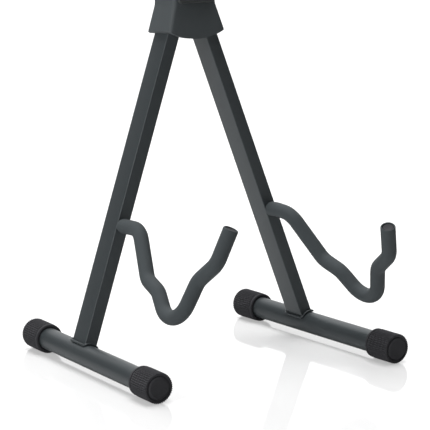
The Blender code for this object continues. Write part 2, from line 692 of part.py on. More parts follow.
def add_housing(build, parent, mats):
    frame = housing_frame()
    far = HOUSING_REAR + PAST
    housing = build.piece("hinge_housing", housing_outside(), frame, parent, mats["plastic"])
    build.cut(housing, prism((under_outline(),), -far, far), frame, parent)
    build.cut(housing, prism((leg_room_outline(),), -WALL_Y, far), frame, parent)
    ledge = WALL_Y - TOUCH
    build.cut(housing, prism((cover_outline(TOUCH),), ledge, far), frame, parent)
    ceiling = COVER_ABOVE - POCKET_HEAD
    pocket = [(-POCKET_HALF_WIDTH, POCKET_FLOOR), (POCKET_HALF_WIDTH, POCKET_FLOOR),
              (POCKET_HALF_WIDTH, ceiling), (-POCKET_HALF_WIDTH, ceiling)]
    build.cut(housing, prism((pocket,), -HOUSING_FRONT + POCKET_WALL, far), frame, parent)
    boss = cylinder(BOSS_RADIUS, -WALL_Y - WALL_FRONT / 2, ledge, 16, z=-BOSS_BELOW)
    build.cut(housing, boss, frame, parent, "UNION")
    pilot_end = COVER_OUT - SCREW_DEPTH - TOUCH
    for x, z in screw_places():
        pilot = cylinder(SCREW_RADIUS + TOUCH, pilot_end, far, 14, x, z)
        build.cut(housing, pilot, frame, parent)

    cover = build.piece("housing_rear_cover", prism((cover_outline(0.0),), WALL_Y, COVER_OUT),
                        frame, parent, mats["plastic"])
    for x, z in screw_places():
        build.cut(cover, cylinder(SCREW_RADIUS + TOUCH, 0.0, far, 14, x, z), frame, parent)
    for _, side in SIDES:
        pivot = pivot_frame(side)
        build.cut(housing, cylinder(HOLE, -far, 0.0), pivot, parent)
        build.cut(cover, cylinder(HOLE, 0.0, far), pivot, parent)

    for index, (x, z) in enumerate(screw_places(), 1):
        head = COVER_OUT + TOUCH
        screw = turned((
            (0.0, head + SCREW_HEAD_HEIGHT),
            (SCREW_HEAD_RADIUS * 0.6, head + SCREW_HEAD_HEIGHT),
            (SCREW_HEAD_RADIUS, head + SCREW_HEAD_HEIGHT * 0.4),
            (SCREW_HEAD_RADIUS, head),
            (SCREW_RADIUS, head),
            (SCREW_RADIUS, COVER_OUT - SCREW_DEPTH + SCREW_RADIUS),
            (0.0, COVER_OUT - SCREW_DEPTH),
        ), 14, False)
        at = frame @ Matrix.Translation((x, 0.0, z))
        build.piece(f"cover_screw_{index}", screw, at, parent, mats["zinc"])


def add_pad(build, parent, mats):
    frame = housing_frame()
    half_height = (PAD_ABOVE + PAD_BELOW) / 2
    at = frame @ Matrix.Translation((0.0, 0.0, (PAD_ABOVE - PAD_BELOW) / 2))
    back = -HOUSING_FRONT - TOUCH
    outline = rounded_rectangle(PAD_HALF_WIDTH, half_height, PAD_CORNER, 4)
    pad = build.piece("rest_pad", prism((outline,), back - PAD_THICK, back), at, parent, mats["rubber"])
    edge = pad.modifiers.new("soft_edge", "BEVEL")
    edge.width = PAD_ROUND
    edge.segments = 2
    edge.limit_method = "ANGLE"
    edge.angle_limit = math.radians(60)
    for _, side in SIDES:
        room = cylinder(BOLT_HEAD_RADIUS + WASHER_SPACE, back - BOLT_HEAD_HEIGHT - WASHER_SPACE, 0.0, 20)
        build.cut(pad, room, pivot_frame(side), parent)


# The stand

def centre_on_floor(root, parts):
    """Moves the stand so that its box stands on the floor, centred on the origin."""
    bpy.context.view_layer.update()
    graph = bpy.context.evaluated_depsgraph_get()
    points = []
    for obj in parts.objects:
        if obj.type == "MESH":
            final = obj.evaluated_get(graph)
            points += [final.matrix_world @ vert.co for vert in final.data.vertices]
    low = [min(point[axis] for point in points) for axis in range(3)]
    high = [max(point[axis] for point in points) for axis in range(3)]
    root.location = (-(low[0] + high[0]) / 2, -(low[1] + high[1]) / 2, -low[2])


def main():
    clear_scene()
    bpy.context.scene.unit_settings.system = "METRIC"
    build = Builder()
    mats = {
        "paint": material("black_powder_coat", (0.030, 0.034, 0.036), 0.42, 0.0),
        "plastic": material("black_moulded_plastic", (0.035, 0.040, 0.042), 0.55, 0.0),
        "rubber": material("black_rubber", (0.018, 0.020, 0.021), 0.75, 0.0),
        "foam": material("black_foam", (0.030, 0.035, 0.037), 0.85, 0.0),
        "steel": material("dark_steel", (0.20, 0.20, 0.20), 0.40, 0.9),
        "zinc": material("black_zinc", (0.10, 0.10, 0.11), 0.38, 0.9),
        "nylon": material("nylon", (0.62, 0.60, 0.55), 0.55, 0.0),
    }
    root = build.empty("stand_root", Matrix.Identity(4))
    head = build.empty("housing_axis", housing_frame(), root)
    add_housing(build, head, mats)
    add_pad(build, head, mats)
    for name, side in SIDES:
        add_pivot(build, name, side, head, mats)
        leg = build.empty(f"leg_axis_{name}", pivot_frame(side), root)
        add_leg(build, name, side, leg, mats)
        add_foot(build, name, side, leg, mats)
        arm = build.empty(f"arm_axis_{name}", arm_frame(name, side), leg)
        add_arm(build, name, side, arm, mats)
    centre_on_floor(root, build.parts)


main()
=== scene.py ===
import bisect
import json
import math

import bmesh
import bpy
from bpy.props import FloatProperty, FloatVectorProperty, IntProperty, PointerProperty
from mathutils import Matrix, Vector, noise

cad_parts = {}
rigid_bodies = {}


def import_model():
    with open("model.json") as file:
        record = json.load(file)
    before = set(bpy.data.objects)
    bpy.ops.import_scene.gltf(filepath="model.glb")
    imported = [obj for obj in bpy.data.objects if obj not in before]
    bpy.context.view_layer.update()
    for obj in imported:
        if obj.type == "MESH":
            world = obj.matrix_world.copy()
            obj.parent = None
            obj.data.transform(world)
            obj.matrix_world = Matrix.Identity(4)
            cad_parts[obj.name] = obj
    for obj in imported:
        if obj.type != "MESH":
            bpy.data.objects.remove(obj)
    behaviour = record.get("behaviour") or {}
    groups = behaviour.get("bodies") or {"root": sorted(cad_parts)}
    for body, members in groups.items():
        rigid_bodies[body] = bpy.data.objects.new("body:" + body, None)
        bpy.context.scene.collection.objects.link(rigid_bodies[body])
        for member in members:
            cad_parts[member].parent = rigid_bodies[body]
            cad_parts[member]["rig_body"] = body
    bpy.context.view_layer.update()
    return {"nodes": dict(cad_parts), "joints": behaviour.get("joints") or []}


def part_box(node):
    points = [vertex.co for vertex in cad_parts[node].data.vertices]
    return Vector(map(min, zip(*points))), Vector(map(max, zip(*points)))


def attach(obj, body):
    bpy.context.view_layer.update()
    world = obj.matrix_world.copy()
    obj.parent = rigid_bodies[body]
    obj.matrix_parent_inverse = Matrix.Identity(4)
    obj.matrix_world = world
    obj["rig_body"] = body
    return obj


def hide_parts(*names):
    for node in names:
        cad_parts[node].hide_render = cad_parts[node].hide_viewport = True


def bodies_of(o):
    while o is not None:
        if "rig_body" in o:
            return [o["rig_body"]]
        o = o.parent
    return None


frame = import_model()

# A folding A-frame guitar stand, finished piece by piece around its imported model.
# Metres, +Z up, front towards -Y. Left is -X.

bl_info = {
    "name": "Folding guitar stand",
    "version": (1, 0, 0),
    "blender": (4, 5, 0),
    "location": "3D View > Sidebar > Guitar stand",
    "description": "Builds a folding A-frame guitar stand around its packed model",
    "category": "Object",
}

SIDES = (("left", -1), ("right", 1))
HIGH = Vector((0.0, 0.0, 1.0))
JOINTS = {joint["name"]: joint for joint in frame["joints"]}
MERGE = 0.000002
SHARP = math.radians(38)
TOUCH = 0.0003          # between pieces that touch
FAR = 0.05              # past any piece, for a cut that runs right through
CORNERS = ((1, 1), (-1, 1), (-1, -1), (1, -1))

# Foot
FOOT_LENGTH = 0.2945
FOOT_RADIUS = 0.0125
FOOT_WALL = 0.0015
FOOT_REAR = 0.1183
CAP_RADIUS = 0.0170
CAP_LENGTH = 0.0380
CAP_END = 0.0050
CAP_DISC_RADIUS = 0.0125
CAP_COLLAR = 0.0030

# Leg
LEG_WIDTH = 0.0150
LEG_DEPTH = 0.0300
LEG_WALL = 0.0015
LEG_ABOVE_PIVOT = 0.0060
LEG_FRONT = LEG_DEPTH / 2

# Pivot
BOLT_RADIUS = 0.0030
HOLE = BOLT_RADIUS + TOUCH
BOLT_HEAD_RADIUS = 0.0058
BOLT_HEAD_HEIGHT = 0.0028
BOLT_PAST_NUT = 0.0015
THREAD_LENGTH = 0.0098
NUT_HEIGHT = 0.0050
BUSH_RADIUS = 0.0040
STEEL_WASHER_RADIUS = 0.0062
THRUST_RADIUS = 0.0070
WASHER_THICK = 0.0010
WASHER_SPACE = 0.0005   # slack at the bushes' ends, under the nuts and around the bolt heads
WALL_Y = 0.0168         # inner faces of the housing's front wall and its cover
COVER_OUT = 0.0212
HOUSING_FRONT = 0.0230
HOUSING_REAR = 0.0216

# Hinge housing, from the line through both pivots
WAIST_BELOW = 0.0070
WAIST_HALF = 0.0281
SKIRT_SLOPE = 0.30
SKIRT_SIDE_BELOW = 0.0367
SKIRT_SAG = 0.0093
SKIRT_CORNER = 0.0028
SKIRT_FLARE_FRONT = 0.107
SKIRT_FLARE_REAR = 0.060
HOUSING_CORNER = 0.0046
HEAD_ABOVE = 0.0460
HEAD_HALF = 0.0269
HEAD_ROUND = 0.0060
ROOM_HALF = 0.01826
ROOM_ABOVE = 0.0103
ROOM_SLOPE = 0.3622
COVER_BELOW = 0.0300
COVER_ABOVE = 0.0410
COVER_RIM = 0.0030
COVER_CORNER = 0.0040
POCKET_HALF = (0.0154, 0.01085)
POCKET_MIDDLE = 0.02615
BOSS_RADIUS = 0.0026
BOSS_BELOW = 0.0200
PAD_EDGE = 0.0030
PAD_BELOW = 0.0060
PAD_THICK = 0.0045
SCREW_PLACES = ((-0.0199, 0.0350), (0.0199, 0.0350), (0.0, -BOSS_BELOW))
SCREW_RADIUS = 0.0012
SCREW_HEAD_RADIUS = 0.0027
SCREW_HEAD_HEIGHT = 0.0018
SCREW_DEPTH = 0.0110
SCREW_PITCH = 0.0008
SCREW_TURNS = (23, -14, 41)

# Cradle arm: corners as (forward, drop, bend radius) from the leg's front face
ROD_RADIUS = 0.0040
COLLAR_RADIUS = 0.0062
COLLAR_ROOM = 0.0065
SHANK_BEND = 0.05
FOAM_RADIUS = 0.00840
SHANK = 0.0120
BENDS = (
    (0.0375, 0.0020, 0.026),
    (0.0737, 0.0550, 0.022),
    (0.1000, 0.0660, 0.024),
    (0.1442, 0.1135, 0.029),
    (0.1742, 0.0488, 0.024),
    (0.2034, 0.0288, 0.026),
)
TIP = (0.2176, -0.0095)
SWIVEL = {"left": math.radians(16.5), "right": math.radians(21.4)}
DROOP = {"left": math.radians(-2.4), "right": math.radians(2.7)}
ARM_WASHER_THICK = 0.0008
ARM_WASHER_EDGE = 0.0012
RETAINER_THICK = 0.0010
RETAINER_EDGE = 0.0009
ROD_PAST_RETAINER = 0.0002
TIP_CAP_RADIUS = 0.0061
TIP_CAP_LENGTH = 0.0120
TIP_CAP_END = 0.0018
TIP_SET_IN = 0.0010


# Frames of the pieces

def frame_from(origin, x_axis, y_axis, z_axis):
    place = Matrix((x_axis, y_axis, z_axis)).transposed().to_4x4()
    place.translation = origin
    return place


def joint_place(name, joint):
    """The joint's point, and its axis pointing to the rear."""
    row = JOINTS[f"{name}_{joint}"]
    axis = Vector(row["axis"]).normalized()
    return Vector(row["pos_m"]), axis if axis.y > 0 else -axis


def leg_frame(name):
    """Origin on the foot's middle line; +Z runs up the leg and +Y out of its rear face."""
    pivot, rear = joint_place(name, "leg_fold")
    arm, _ = joint_place(name, "arm_swivel")
    up = (pivot - arm).normalized()
    origin = arm - up * ((arm.z - CAP_RADIUS) / up.z)
    return frame_from(origin, rear.cross(up), rear, up)


def pivot_frame(name):
    leg = leg_frame(name)
    leg.translation = joint_place(name, "leg_fold")[0]
    return leg


def leg_height(point, name):
    """How far up the leg a point of its middle line is."""
    return (point - leg_frame(name).translation).length


def foot_frame(name):
    """Origin where the leg's middle line meets the foot's; +Y runs back along the foot."""
    ends = []
    for end in ("rear", "front"):
        low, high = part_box(f"foot_cap_{end}_{name}")
        ends.append((low + high) / 2)
    back = (ends[0] - ends[1]).normalized()
    return frame_from(leg_frame(name).translation, back.cross(HIGH), back, HIGH)


def housing_frame():
    places = [joint_place(name, "leg_fold") for name, _ in SIDES]
    rear = (places[0][1] + places[1][1]).normalized()
    across = Vector((1.0, 0.0, 0.0))
    return frame_from((places[0][0] + places[1][0]) / 2, across, rear, across.cross(rear))


def arm_frame(name, side):
    """Origin on the leg's middle line; the arm runs along -Y and its drop along -Z."""
    origin, rear = joint_place(name, "arm_swivel")
    up = (HIGH - rear * HIGH.dot(rear)).normalized()
    outward = rear.cross(up) * side
    drop = -up * math.cos(SWIVEL[name]) + outward * math.sin(SWIVEL[name])
    return frame_from(origin, rear.cross(-drop), rear, -drop)


# Shapes

def turned(profile, steps, closed=False):
    """A profile of (radius, y) spun about Y."""
    shape = bmesh.new()
    verts = [shape.verts.new((radius, along, 0.0)) for radius, along in profile]
    edges = [shape.edges.new(pair) for pair in zip(verts, verts[1:])]
    if closed:
        edges.append(shape.edges.new((verts[-1], verts[0])))
    bmesh.ops.spin(shape, geom=verts + edges, cent=(0.0, 0.0, 0.0), axis=(0.0, 1.0, 0.0),
                   angle=math.tau, steps=steps, use_merge=True)
    bmesh.ops.remove_doubles(shape, verts=shape.verts, dist=MERGE)
    bmesh.ops.recalc_face_normals(shape, faces=shape.faces)
    return shape


def rod_along_y(radius, start, end, steps=24, x=0.0, z=0.0):
    """A plain closed cylinder along Y, to cut with."""
    shape = bmesh.new()
    bmesh.ops.create_cone(shape, cap_ends=True, segments=steps, radius1=radius, radius2=radius,
                          depth=end - start)
    bmesh.ops.rotate(shape, verts=shape.verts, matrix=Matrix.Rotation(math.pi / 2, 3, "X"))
    bmesh.ops.translate(shape, verts=shape.verts, vec=(x, (start + end) / 2, z))
    return shape


def slab(outline, start, end, corners=0.0, segments=4):
    """A flat outline in XZ, its corners rounded, pushed along Y from start to end."""
    shape = bmesh.new()
    verts = [shape.verts.new((x, start, z)) for x, z in outline]
    shape.faces.new(verts)
    if corners:
        bmesh.ops.bevel(shape, geom=verts, offset=corners, segments=segments, affect="VERTICES",
                        profile=0.5, material=-1)
    pushed = bmesh.ops.extrude_face_region(shape, geom=shape.faces[:])
    moved = [item for item in pushed["geom"] if isinstance(item, bmesh.types.BMVert)]
    bmesh.ops.translate(shape, verts=moved, vec=(0.0, end - start, 0.0))
    bmesh.ops.recalc_face_normals(shape, faces=shape.faces)
    return shape


def rectangle(half_x, half_z, middle=0.0):
    """A rectangle's corners in XZ, around (0, middle)."""
    low = middle - half_z
    high = middle + half_z
    return ((-half_x, low), (half_x, low), (half_x, high), (-half_x, high))


def sink(vert, depth):
    """Moves a point of a shape turned about Y towards its axis."""
    size = 1 - depth / math.hypot(vert.co.x, vert.co.z)
    vert.co.x *= size
    vert.co.z *= size


def round_angle(vert):
    return math.atan2(vert.co.z, vert.co.x)


def climb_to_tube(start, up, radius):
    """How far along up a line from start leaves a round tube about Y."""
    a = up.x ** 2 + up.z ** 2
    b = 2 * (start.x * up.x + start.z * up.z)
    c = start.x ** 2 + start.z ** 2 - radius ** 2
    return (-b + math.sqrt(b * b - 4 * a * c)) / (2 * a)


def soften(shape, width, segments=2, angle=50.0, only=None):
    """Bevels the shape's sharp edges."""
    limit = math.radians(angle)
    sharp = [e for e in shape.edges if len(e.link_faces) == 2 and e.calc_face_angle(0.0) > limit]
    if only:
        sharp = [e for e in sharp if only(e)]
    bmesh.ops.bevel(shape, geom=sharp, offset=width, segments=segments, affect="EDGES",
                    profile=0.5, material=-1, clamp_overlap=True)


def as_mesh(shape, name="shape"):
    mesh = bpy.data.meshes.new(name)
    shape.to_mesh(mesh)
    shape.free()
    return mesh


def carved(shape, cuts):
    """The shape after exact Booleans; cuts are (operation, shape) in order."""
    body = bpy.data.objects.new("body", as_mesh(shape))
    bpy.context.scene.collection.objects.link(body)
    cutters = []
    for operation, cut in cuts:
        cutter = bpy.data.objects.new("cutter", as_mesh(cut))
        bpy.context.scene.collection.objects.link(cutter)
        cutters.append(cutter)
        boolean = body.modifiers.new(operation, "BOOLEAN")
        boolean.operation = operation
        boolean.solver = "EXACT"
        boolean.object = cutter
    bpy.context.view_layer.update()
    mesh = bpy.data.meshes.new_from_object(body.evaluated_get(bpy.context.evaluated_depsgraph_get()))
    result = bmesh.new()
    result.from_mesh(mesh)
    for used in (body, *cutters):
        data = used.data
        bpy.data.objects.remove(used, do_unlink=True)
        bpy.data.meshes.remove(data)
    bpy.data.meshes.remove(mesh)
    bmesh.ops.remove_doubles(result, verts=result.verts, dist=MERGE * 5)
    bmesh.ops.dissolve_degenerate(result, edges=result.edges, dist=MERGE * 5)
    return result


class Route:
    """A path of (point, heading) pairs, found by length, with a steady sideways direction."""

    def __init__(self, stops, sideways):
        self.points = [point for point, _ in stops]
        self.headings = [heading for _, heading in stops]
        self.sideways = sideways
        self.marks = [0.0]
        for here, after in zip(self.points, self.points[1:]):
            self.marks.append(self.marks[-1] + (after - here).length)
        self.length = self.marks[-1]

    def at(self, along):
        index = min(max(bisect.bisect_right(self.marks, along) - 1, 0), len(self.points) - 2)
        span = self.marks[index + 1] - self.marks[index]
        share = (along - self.marks[index]) / span
        point = self.points[index].lerp(self.points[index + 1], share)
        heading = self.headings[index].lerp(self.headings[index + 1], min(max(share, 0.0), 1.0))
        heading.normalize()
        across = self.sideways(heading)
        return frame_from(point, across, heading, across.cross(heading))

    def bend(self, shape):
        """Bends a straight shape, made along Y, onto the route."""
        frames = {}
        for vert in shape.verts:
            key = round(vert.co.y, 7)
            if key not in frames:
                frames[key] = self.at(vert.co.y)
            vert.co = frames[key] @ Vector((vert.co.x, 0.0, vert.co.z))


def bent_stops(corners, radii, step=math.radians(3)):
    """Stops of straight runs joined by arcs; each inner corner has its bend radius."""
    start = (corners[1] - corners[0]).normalized()
    stops = [(corners[0], start)]
    for before, corner, after, radius in zip(corners, corners[1:], corners[2:], radii):
        into = (corner - before).normalized()
        out = (after - corner).normalized()
        turn = into.angle(out)
        reach = radius * math.tan(turn / 2)
        centre = corner - into * reach + (out - into * out.dot(into)).normalized() * radius
        first = corner - into * reach - centre
        axis = into.cross(out).normalized()
        steps = max(2, round(turn / step))
        for index in range(steps + 1):
            swing = Matrix.Rotation(turn * index / steps, 3, axis)
            stops.append((centre + swing @ first, swing @ into))
    stops.append((corners[-1], out))
    return stops


def arm_corner(name, forward, drop):
    """A point of the arm's plane, turned by the arm's droop, in the arm's frame."""
    droop = DROOP[name]
    run = forward * math.cos(droop) - drop * math.sin(droop)
    fall = drop * math.cos(droop) + forward * math.sin(droop)
    return Vector((0.0, -LEG_FRONT - run, -fall))


def arm_route(name, start):
    """The rod's middle line from y = start to the sleeve's tip, in the arm's frame."""
    corners = [Vector((0.0, start, 0.0)), Vector((0.0, -LEG_FRONT - SHANK, 0.0))]
    corners += [arm_corner(name, forward, drop) for forward, drop, _ in BENDS]
    corners.append(arm_corner(name, *TIP))
    radii = [SHANK_BEND, *(radius for _, _, radius in BENDS)]
    return Route(bent_stops(corners, radii), lambda heading: Vector((-1.0, 0.0, 0.0)))


def spaced(start, end, step):
    """Places from start to end, about a step apart, without the last."""
    count = max(1, round(abs(end - start) / step))
    return [start + (end - start) * index / count for index in range(count)]


# Pieces

def finish_piece(name, shape, place, body, slot, nodes, sharp=SHARP):
    """Turns a shape into a piece that rides on a body and stands for its CAD nodes."""
    bmesh.ops.remove_doubles(shape, verts=shape.verts, dist=MERGE)
    bmesh.ops.recalc_face_normals(shape, faces=shape.faces)
    bmesh.ops.transform(shape, matrix=place, verts=shape.verts)
    mesh = as_mesh(shape, name)
    for polygon in mesh.polygons:
        polygon.use_smooth = True
    mesh.set_sharp_from_angle(angle=sharp)
    mesh.materials.append(finishes()[slot])
    obj = bpy.data.objects.new(name, mesh)
    bpy.context.scene.collection.objects.link(obj)
    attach(obj, body)
    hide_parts(*nodes)
    return obj


def chamfered_hex(radius, start, end, steps=6):
    """A hexagon along Y with both ends' corners turned off."""
    shape = rod_along_y(radius, start, end, steps)
    slope = radius * 0.16
    cone = turned((
        (0.0, end),
        (radius * 0.90, end),
        (radius * 1.06, end - slope),
        (radius * 1.06, start + slope),
        (radius * 0.90, start),
        (0.0, start),
    ), 48)
    return shape, cone


# Node groups

def socket(group, name, kind, way, default=None):
    item = group.interface.new_socket(name=name, in_out=way, socket_type=f"NodeSocket{kind}")
    if default is not None:
        item.default_value = default
    return item


class Nodes:
    """Adds nodes to a tree and joins them."""

    def __init__(self, tree):
        self.tree = tree

    def add(self, kind, values=None, **settings):
        node = self.tree.nodes.new(kind)
        for key, value in settings.items():
            setattr(node, key, value)
        for key, value in (values or {}).items():
            target = node.inputs[key]
            if isinstance(value, bpy.types.NodeSocket):
                self.tree.links.new(value, target)
            else:
                target.default_value = value
        return node

    def math(self, operation, first, second=0.0, clamp=False):
        node = self.add("ShaderNodeMath", {0: first, 1: second}, operation=operation)
        node.use_clamp = clamp
        return node.outputs[0]

    def spread(self, value, low, high, to_low=0.0, to_high=1.0):
        node = self.add("ShaderNodeMapRange", {
            "Value": value, "From Min": low, "From Max": high, "To Min": to_low, "To Max": to_high,
        })
        return node.outputs["Result"]

    def mix(self, factor, first, second):
        node = self.add("ShaderNodeMix", data_type="RGBA")
        for key, value in ((0, factor), (6, first), (7, second)):
            if isinstance(value, bpy.types.NodeSocket):
                self.tree.links.new(value, node.inputs[key])
            else:
                node.inputs[key].default_value = value
        return node.outputs[2]


def new_group(name, inputs, outputs):
    """An empty node group with its own sockets, and the nodes that carry them."""
    group = bpy.data.node_groups.new(name, "ShaderNodeTree")
    for label, kind, default in inputs:
        socket(group, label, kind, "INPUT", default)
    for label, kind in outputs:
        socket(group, label, kind, "OUTPUT")
    nodes = Nodes(group)
    return group, nodes, nodes.add("NodeGroupInput").outputs, nodes.add("NodeGroupOutput").inputs


def object_point(nodes):
    return nodes.add("ShaderNodeTexCoord").outputs["Object"]


def grain_group():
    """Fine raised grain: powder specks, mould grain or foam skin, with a blotch mask."""
    group, nodes, given, result = new_group("Fine grain", (
        ("Grain size", "Float", 0.0006),
        ("Blotch size", "Float", 0.02),
        ("Pits", "Float", 0.5),
    ), (("Height", "Float"), ("Blotches", "Float")))
    point = object_point(nodes)
    fine = nodes.math("DIVIDE", 1.0, given["Grain size"])
    wide = nodes.math("DIVIDE", 1.0, given["Blotch size"])
    specks = nodes.add("ShaderNodeTexNoise", {
        "Vector": point, "Scale": fine, "Detail": 3.0, "Roughness": 0.6,
    }).outputs[0]
    cells = nodes.add("ShaderNodeTexVoronoi", {"Vector": point, "Scale": fine}).outputs["Distance"]
    blotch = nodes.add("ShaderNodeTexNoise", {
        "Vector": point, "Scale": wide, "Detail": 4.0, "Roughness": 0.55,
    }).outputs[0]
    pitted = nodes.math("MULTIPLY", cells, given["Pits"])
    links = group.links
    links.new(nodes.math("ADD", specks, pitted), result["Height"])
    links.new(blotch, result["Blotches"])
    return group


def wear_group():
    """A mask of the piece's worn outer edges."""
    group, nodes, given, result = new_group("Edge wear", (
        ("Edge width", "Float", 0.0008),
        ("Wear", "Float", 0.5),
        ("Patch size", "Float", 0.01),
    ), (("Mask", "Float"), ("Soft normal", "Vector")))
    rounded = nodes.add("ShaderNodeBevel", {"Radius": given["Edge width"]}, samples=4).outputs[0]
    flat = nodes.add("ShaderNodeNewGeometry").outputs["Normal"]
    facing = nodes.add("ShaderNodeVectorMath", {0: rounded, 1: flat}, operation="DOT_PRODUCT")
    edge = nodes.spread(facing.outputs["Value"], 0.995, 0.90)
    scale = nodes.math("DIVIDE", 1.0, given["Patch size"])
    patches = nodes.add("ShaderNodeTexNoise", {
        "Vector": object_point(nodes), "Scale": scale, "Detail": 5.0, "Roughness": 0.7,
    }).outputs[0]
    broken = nodes.spread(patches, 0.40, 0.62)
    group.links.new(nodes.math("MULTIPLY", nodes.math("MULTIPLY", edge, broken), given["Wear"], True),
                    result["Mask"])
    group.links.new(rounded, result["Soft normal"])
    return group


def dust_group():
    """A mask of the thin dust that lies on upward faces."""
    group, nodes, given, result = new_group("Dust", (
        ("Amount", "Float", 0.3),
        ("Cloud size", "Float", 0.02),
    ), (("Mask", "Float"),))
    normal = nodes.add("ShaderNodeNewGeometry").outputs["Normal"]
    height = nodes.add("ShaderNodeSeparateXYZ", {0: normal}).outputs["Z"]
    upward = nodes.spread(height, 0.25, 1.0)
    scale = nodes.math("DIVIDE", 1.0, given["Cloud size"])
    clouds = nodes.add("ShaderNodeTexNoise", {
        "Vector": object_point(nodes), "Scale": scale, "Detail": 6.0, "Roughness": 0.65,
    }).outputs[0]
    broken = nodes.spread(clouds, 0.35, 0.70)
    group.links.new(nodes.math("MULTIPLY", nodes.math("MULTIPLY", upward, broken), given["Amount"], True),
                    result["Mask"])
    return group


GROUPS = {"Fine grain": grain_group, "Edge wear": wear_group, "Dust": dust_group}


def shared(name):
    """A shared node group, built the first time it is asked for."""
    return bpy.data.node_groups.get(name) or GROUPS[name]()


# Finishes: what each material slot is made of. Second is the darker colour's share of the first;
# grain, blotch, height and edge are lengths.
FINISH_ROWS = {
    "powder_coat": dict(
        second=0.75, rough=(0.40, 0.50), metallic=0.0, specular=0.50, grain=0.0009, blotch=0.030,
        pits=0.35, height=0.00010, edge=0.0007, wear=0.22, worn=(0.16, 0.17, 0.175), dust=0.10),
    "moulded_plastic": dict(
        second=0.82, rough=(0.48, 0.60), metallic=0.0, specular=0.45, grain=0.0011, blotch=0.016,
        pits=0.80, height=0.00013, edge=0.0006, wear=0.16, worn=(0.13, 0.14, 0.145), dust=0.10),
    "pad_rubber": dict(
        second=0.80, rough=(0.62, 0.76), metallic=0.0, specular=0.35, grain=0.0008, blotch=0.012,
        pits=0.60, height=0.00010, edge=0.0006, wear=0.12, worn=(0.10, 0.11, 0.11), dust=0.14),
    "cap_rubber": dict(
        second=0.78, rough=(0.42, 0.54), metallic=0.0, specular=0.45, grain=0.0007, blotch=0.010,
        pits=0.60, height=0.00009, edge=0.0004, wear=0.15, worn=(0.05, 0.055, 0.06), dust=0.03),
    "foam": dict(
        second=0.80, rough=(0.78, 0.92), metallic=0.0, specular=0.30, grain=0.0007, blotch=0.014,
        pits=1.20, height=0.00022, edge=0.0006, wear=0.0, worn=(0.10, 0.11, 0.11), dust=0.10),
    "bare_steel": dict(
        second=0.70, rough=(0.28, 0.45), metallic=1.0, specular=0.50, grain=0.0010, blotch=0.008,
        pits=0.20, height=0.00003, edge=0.0003, wear=0.40, worn=(0.45, 0.45, 0.44), dust=0.05),
    "black_zinc": dict(
        second=0.65, rough=(0.30, 0.46), metallic=1.0, specular=0.50, grain=0.0008, blotch=0.006,
        pits=0.20, height=0.00003, edge=0.0003, wear=0.55, worn=(0.32, 0.32, 0.33), dust=0.06),
    "nylon": dict(
        second=0.90, rough=(0.42, 0.55), metallic=0.0, specular=0.50, grain=0.0007, blotch=0.006,
        pits=0.40, height=0.00004, edge=0.0003, wear=0.10, worn=(0.70, 0.68, 0.62), dust=0.06),
}


def finishes():
    """The eight materials by slot, made the first time they are asked for."""
    made = {}
    colours = bpy.context.scene.guitar_stand_finish
    for slot, row in FINISH_ROWS.items():
        mat = bpy.data.materials.get(slot)
        made[slot] = mat or make_finish(slot, tuple(getattr(colours, slot)), row)
    return made


def make_finish(slot, colour, row):
    mat = bpy.data.materials.new(slot)
    mat.use_nodes = True
    mat.diffuse_color = (*colour, 1.0)
    tree = mat.node_tree
    nodes = Nodes(tree)
    shader = tree.nodes["Principled BSDF"]
    grain = nodes.add("ShaderNodeGroup", node_tree=shared("Fine grain"))
    wear = nodes.add("ShaderNodeGroup", node_tree=shared("Edge wear"))
    dust = nodes.add("ShaderNodeGroup", node_tree=shared("Dust"))
    for node, label, key in ((grain, "Grain size", "grain"), (grain, "Blotch size", "blotch"),
                             (grain, "Pits", "pits"), (wear, "Edge width", "edge"),
                             (wear, "Wear", "wear"), (dust, "Amount", "dust")):
        node.inputs[label].default_value = row[key]
    share = nodes.spread(grain.outputs["Blotches"], 0.30, 0.70)
    darker = tuple(channel * row["second"] for channel in colour)
    base = nodes.mix(share, (*darker, 1.0), (*colour, 1.0))
    speckle = nodes.spread(grain.outputs["Height"], 0.2, 0.9, 0.0, 0.18)
    base = nodes.mix(speckle, base, (*(min(1.0, c * 1.9) for c in colour), 1.0))
    base = nodes.mix(wear.outputs["Mask"], base, (*row["worn"], 1.0))
    base = nodes.mix(dust.outputs["Mask"], base, (0.22, 0.22, 0.21, 1.0))
    rough = nodes.spread(grain.outputs["Blotches"], 0.30, 0.70, *row["rough"])
    rough = nodes.math("ADD", rough, nodes.math("MULTIPLY", dust.outputs["Mask"], 0.5), True)
    bump = nodes.add("ShaderNodeBump", {
        "Strength": 0.8, "Distance": row["height"], "Height": grain.outputs["Height"],
        "Normal": wear.outputs["Soft normal"],
    })
    tree.links.new(base, shader.inputs["Base Color"])
    tree.links.new(rough, shader.inputs["Roughness"])
    tree.links.new(bump.outputs["Normal"], shader.inputs["Normal"])
    shader.inputs["Metallic"].default_value = row["metallic"]
    shader.inputs["Specular IOR Level"].default_value = row["specular"]
    if slot == "foam":
        shader.inputs["Sheen Weight"].default_value = 0.15
        shader.inputs["Sheen Roughness"].default_value = 0.5
    return mat


# Settings

def colour_prop(name, description, colour):
    return FloatVectorProperty(name=name, description=description, subtype="COLOR", size=3,
                               min=0.0, max=1.0, default=colour)


def length_prop(name, description, value):
    return FloatProperty(name=name, description=description, default=value, unit="LENGTH", precision=5)


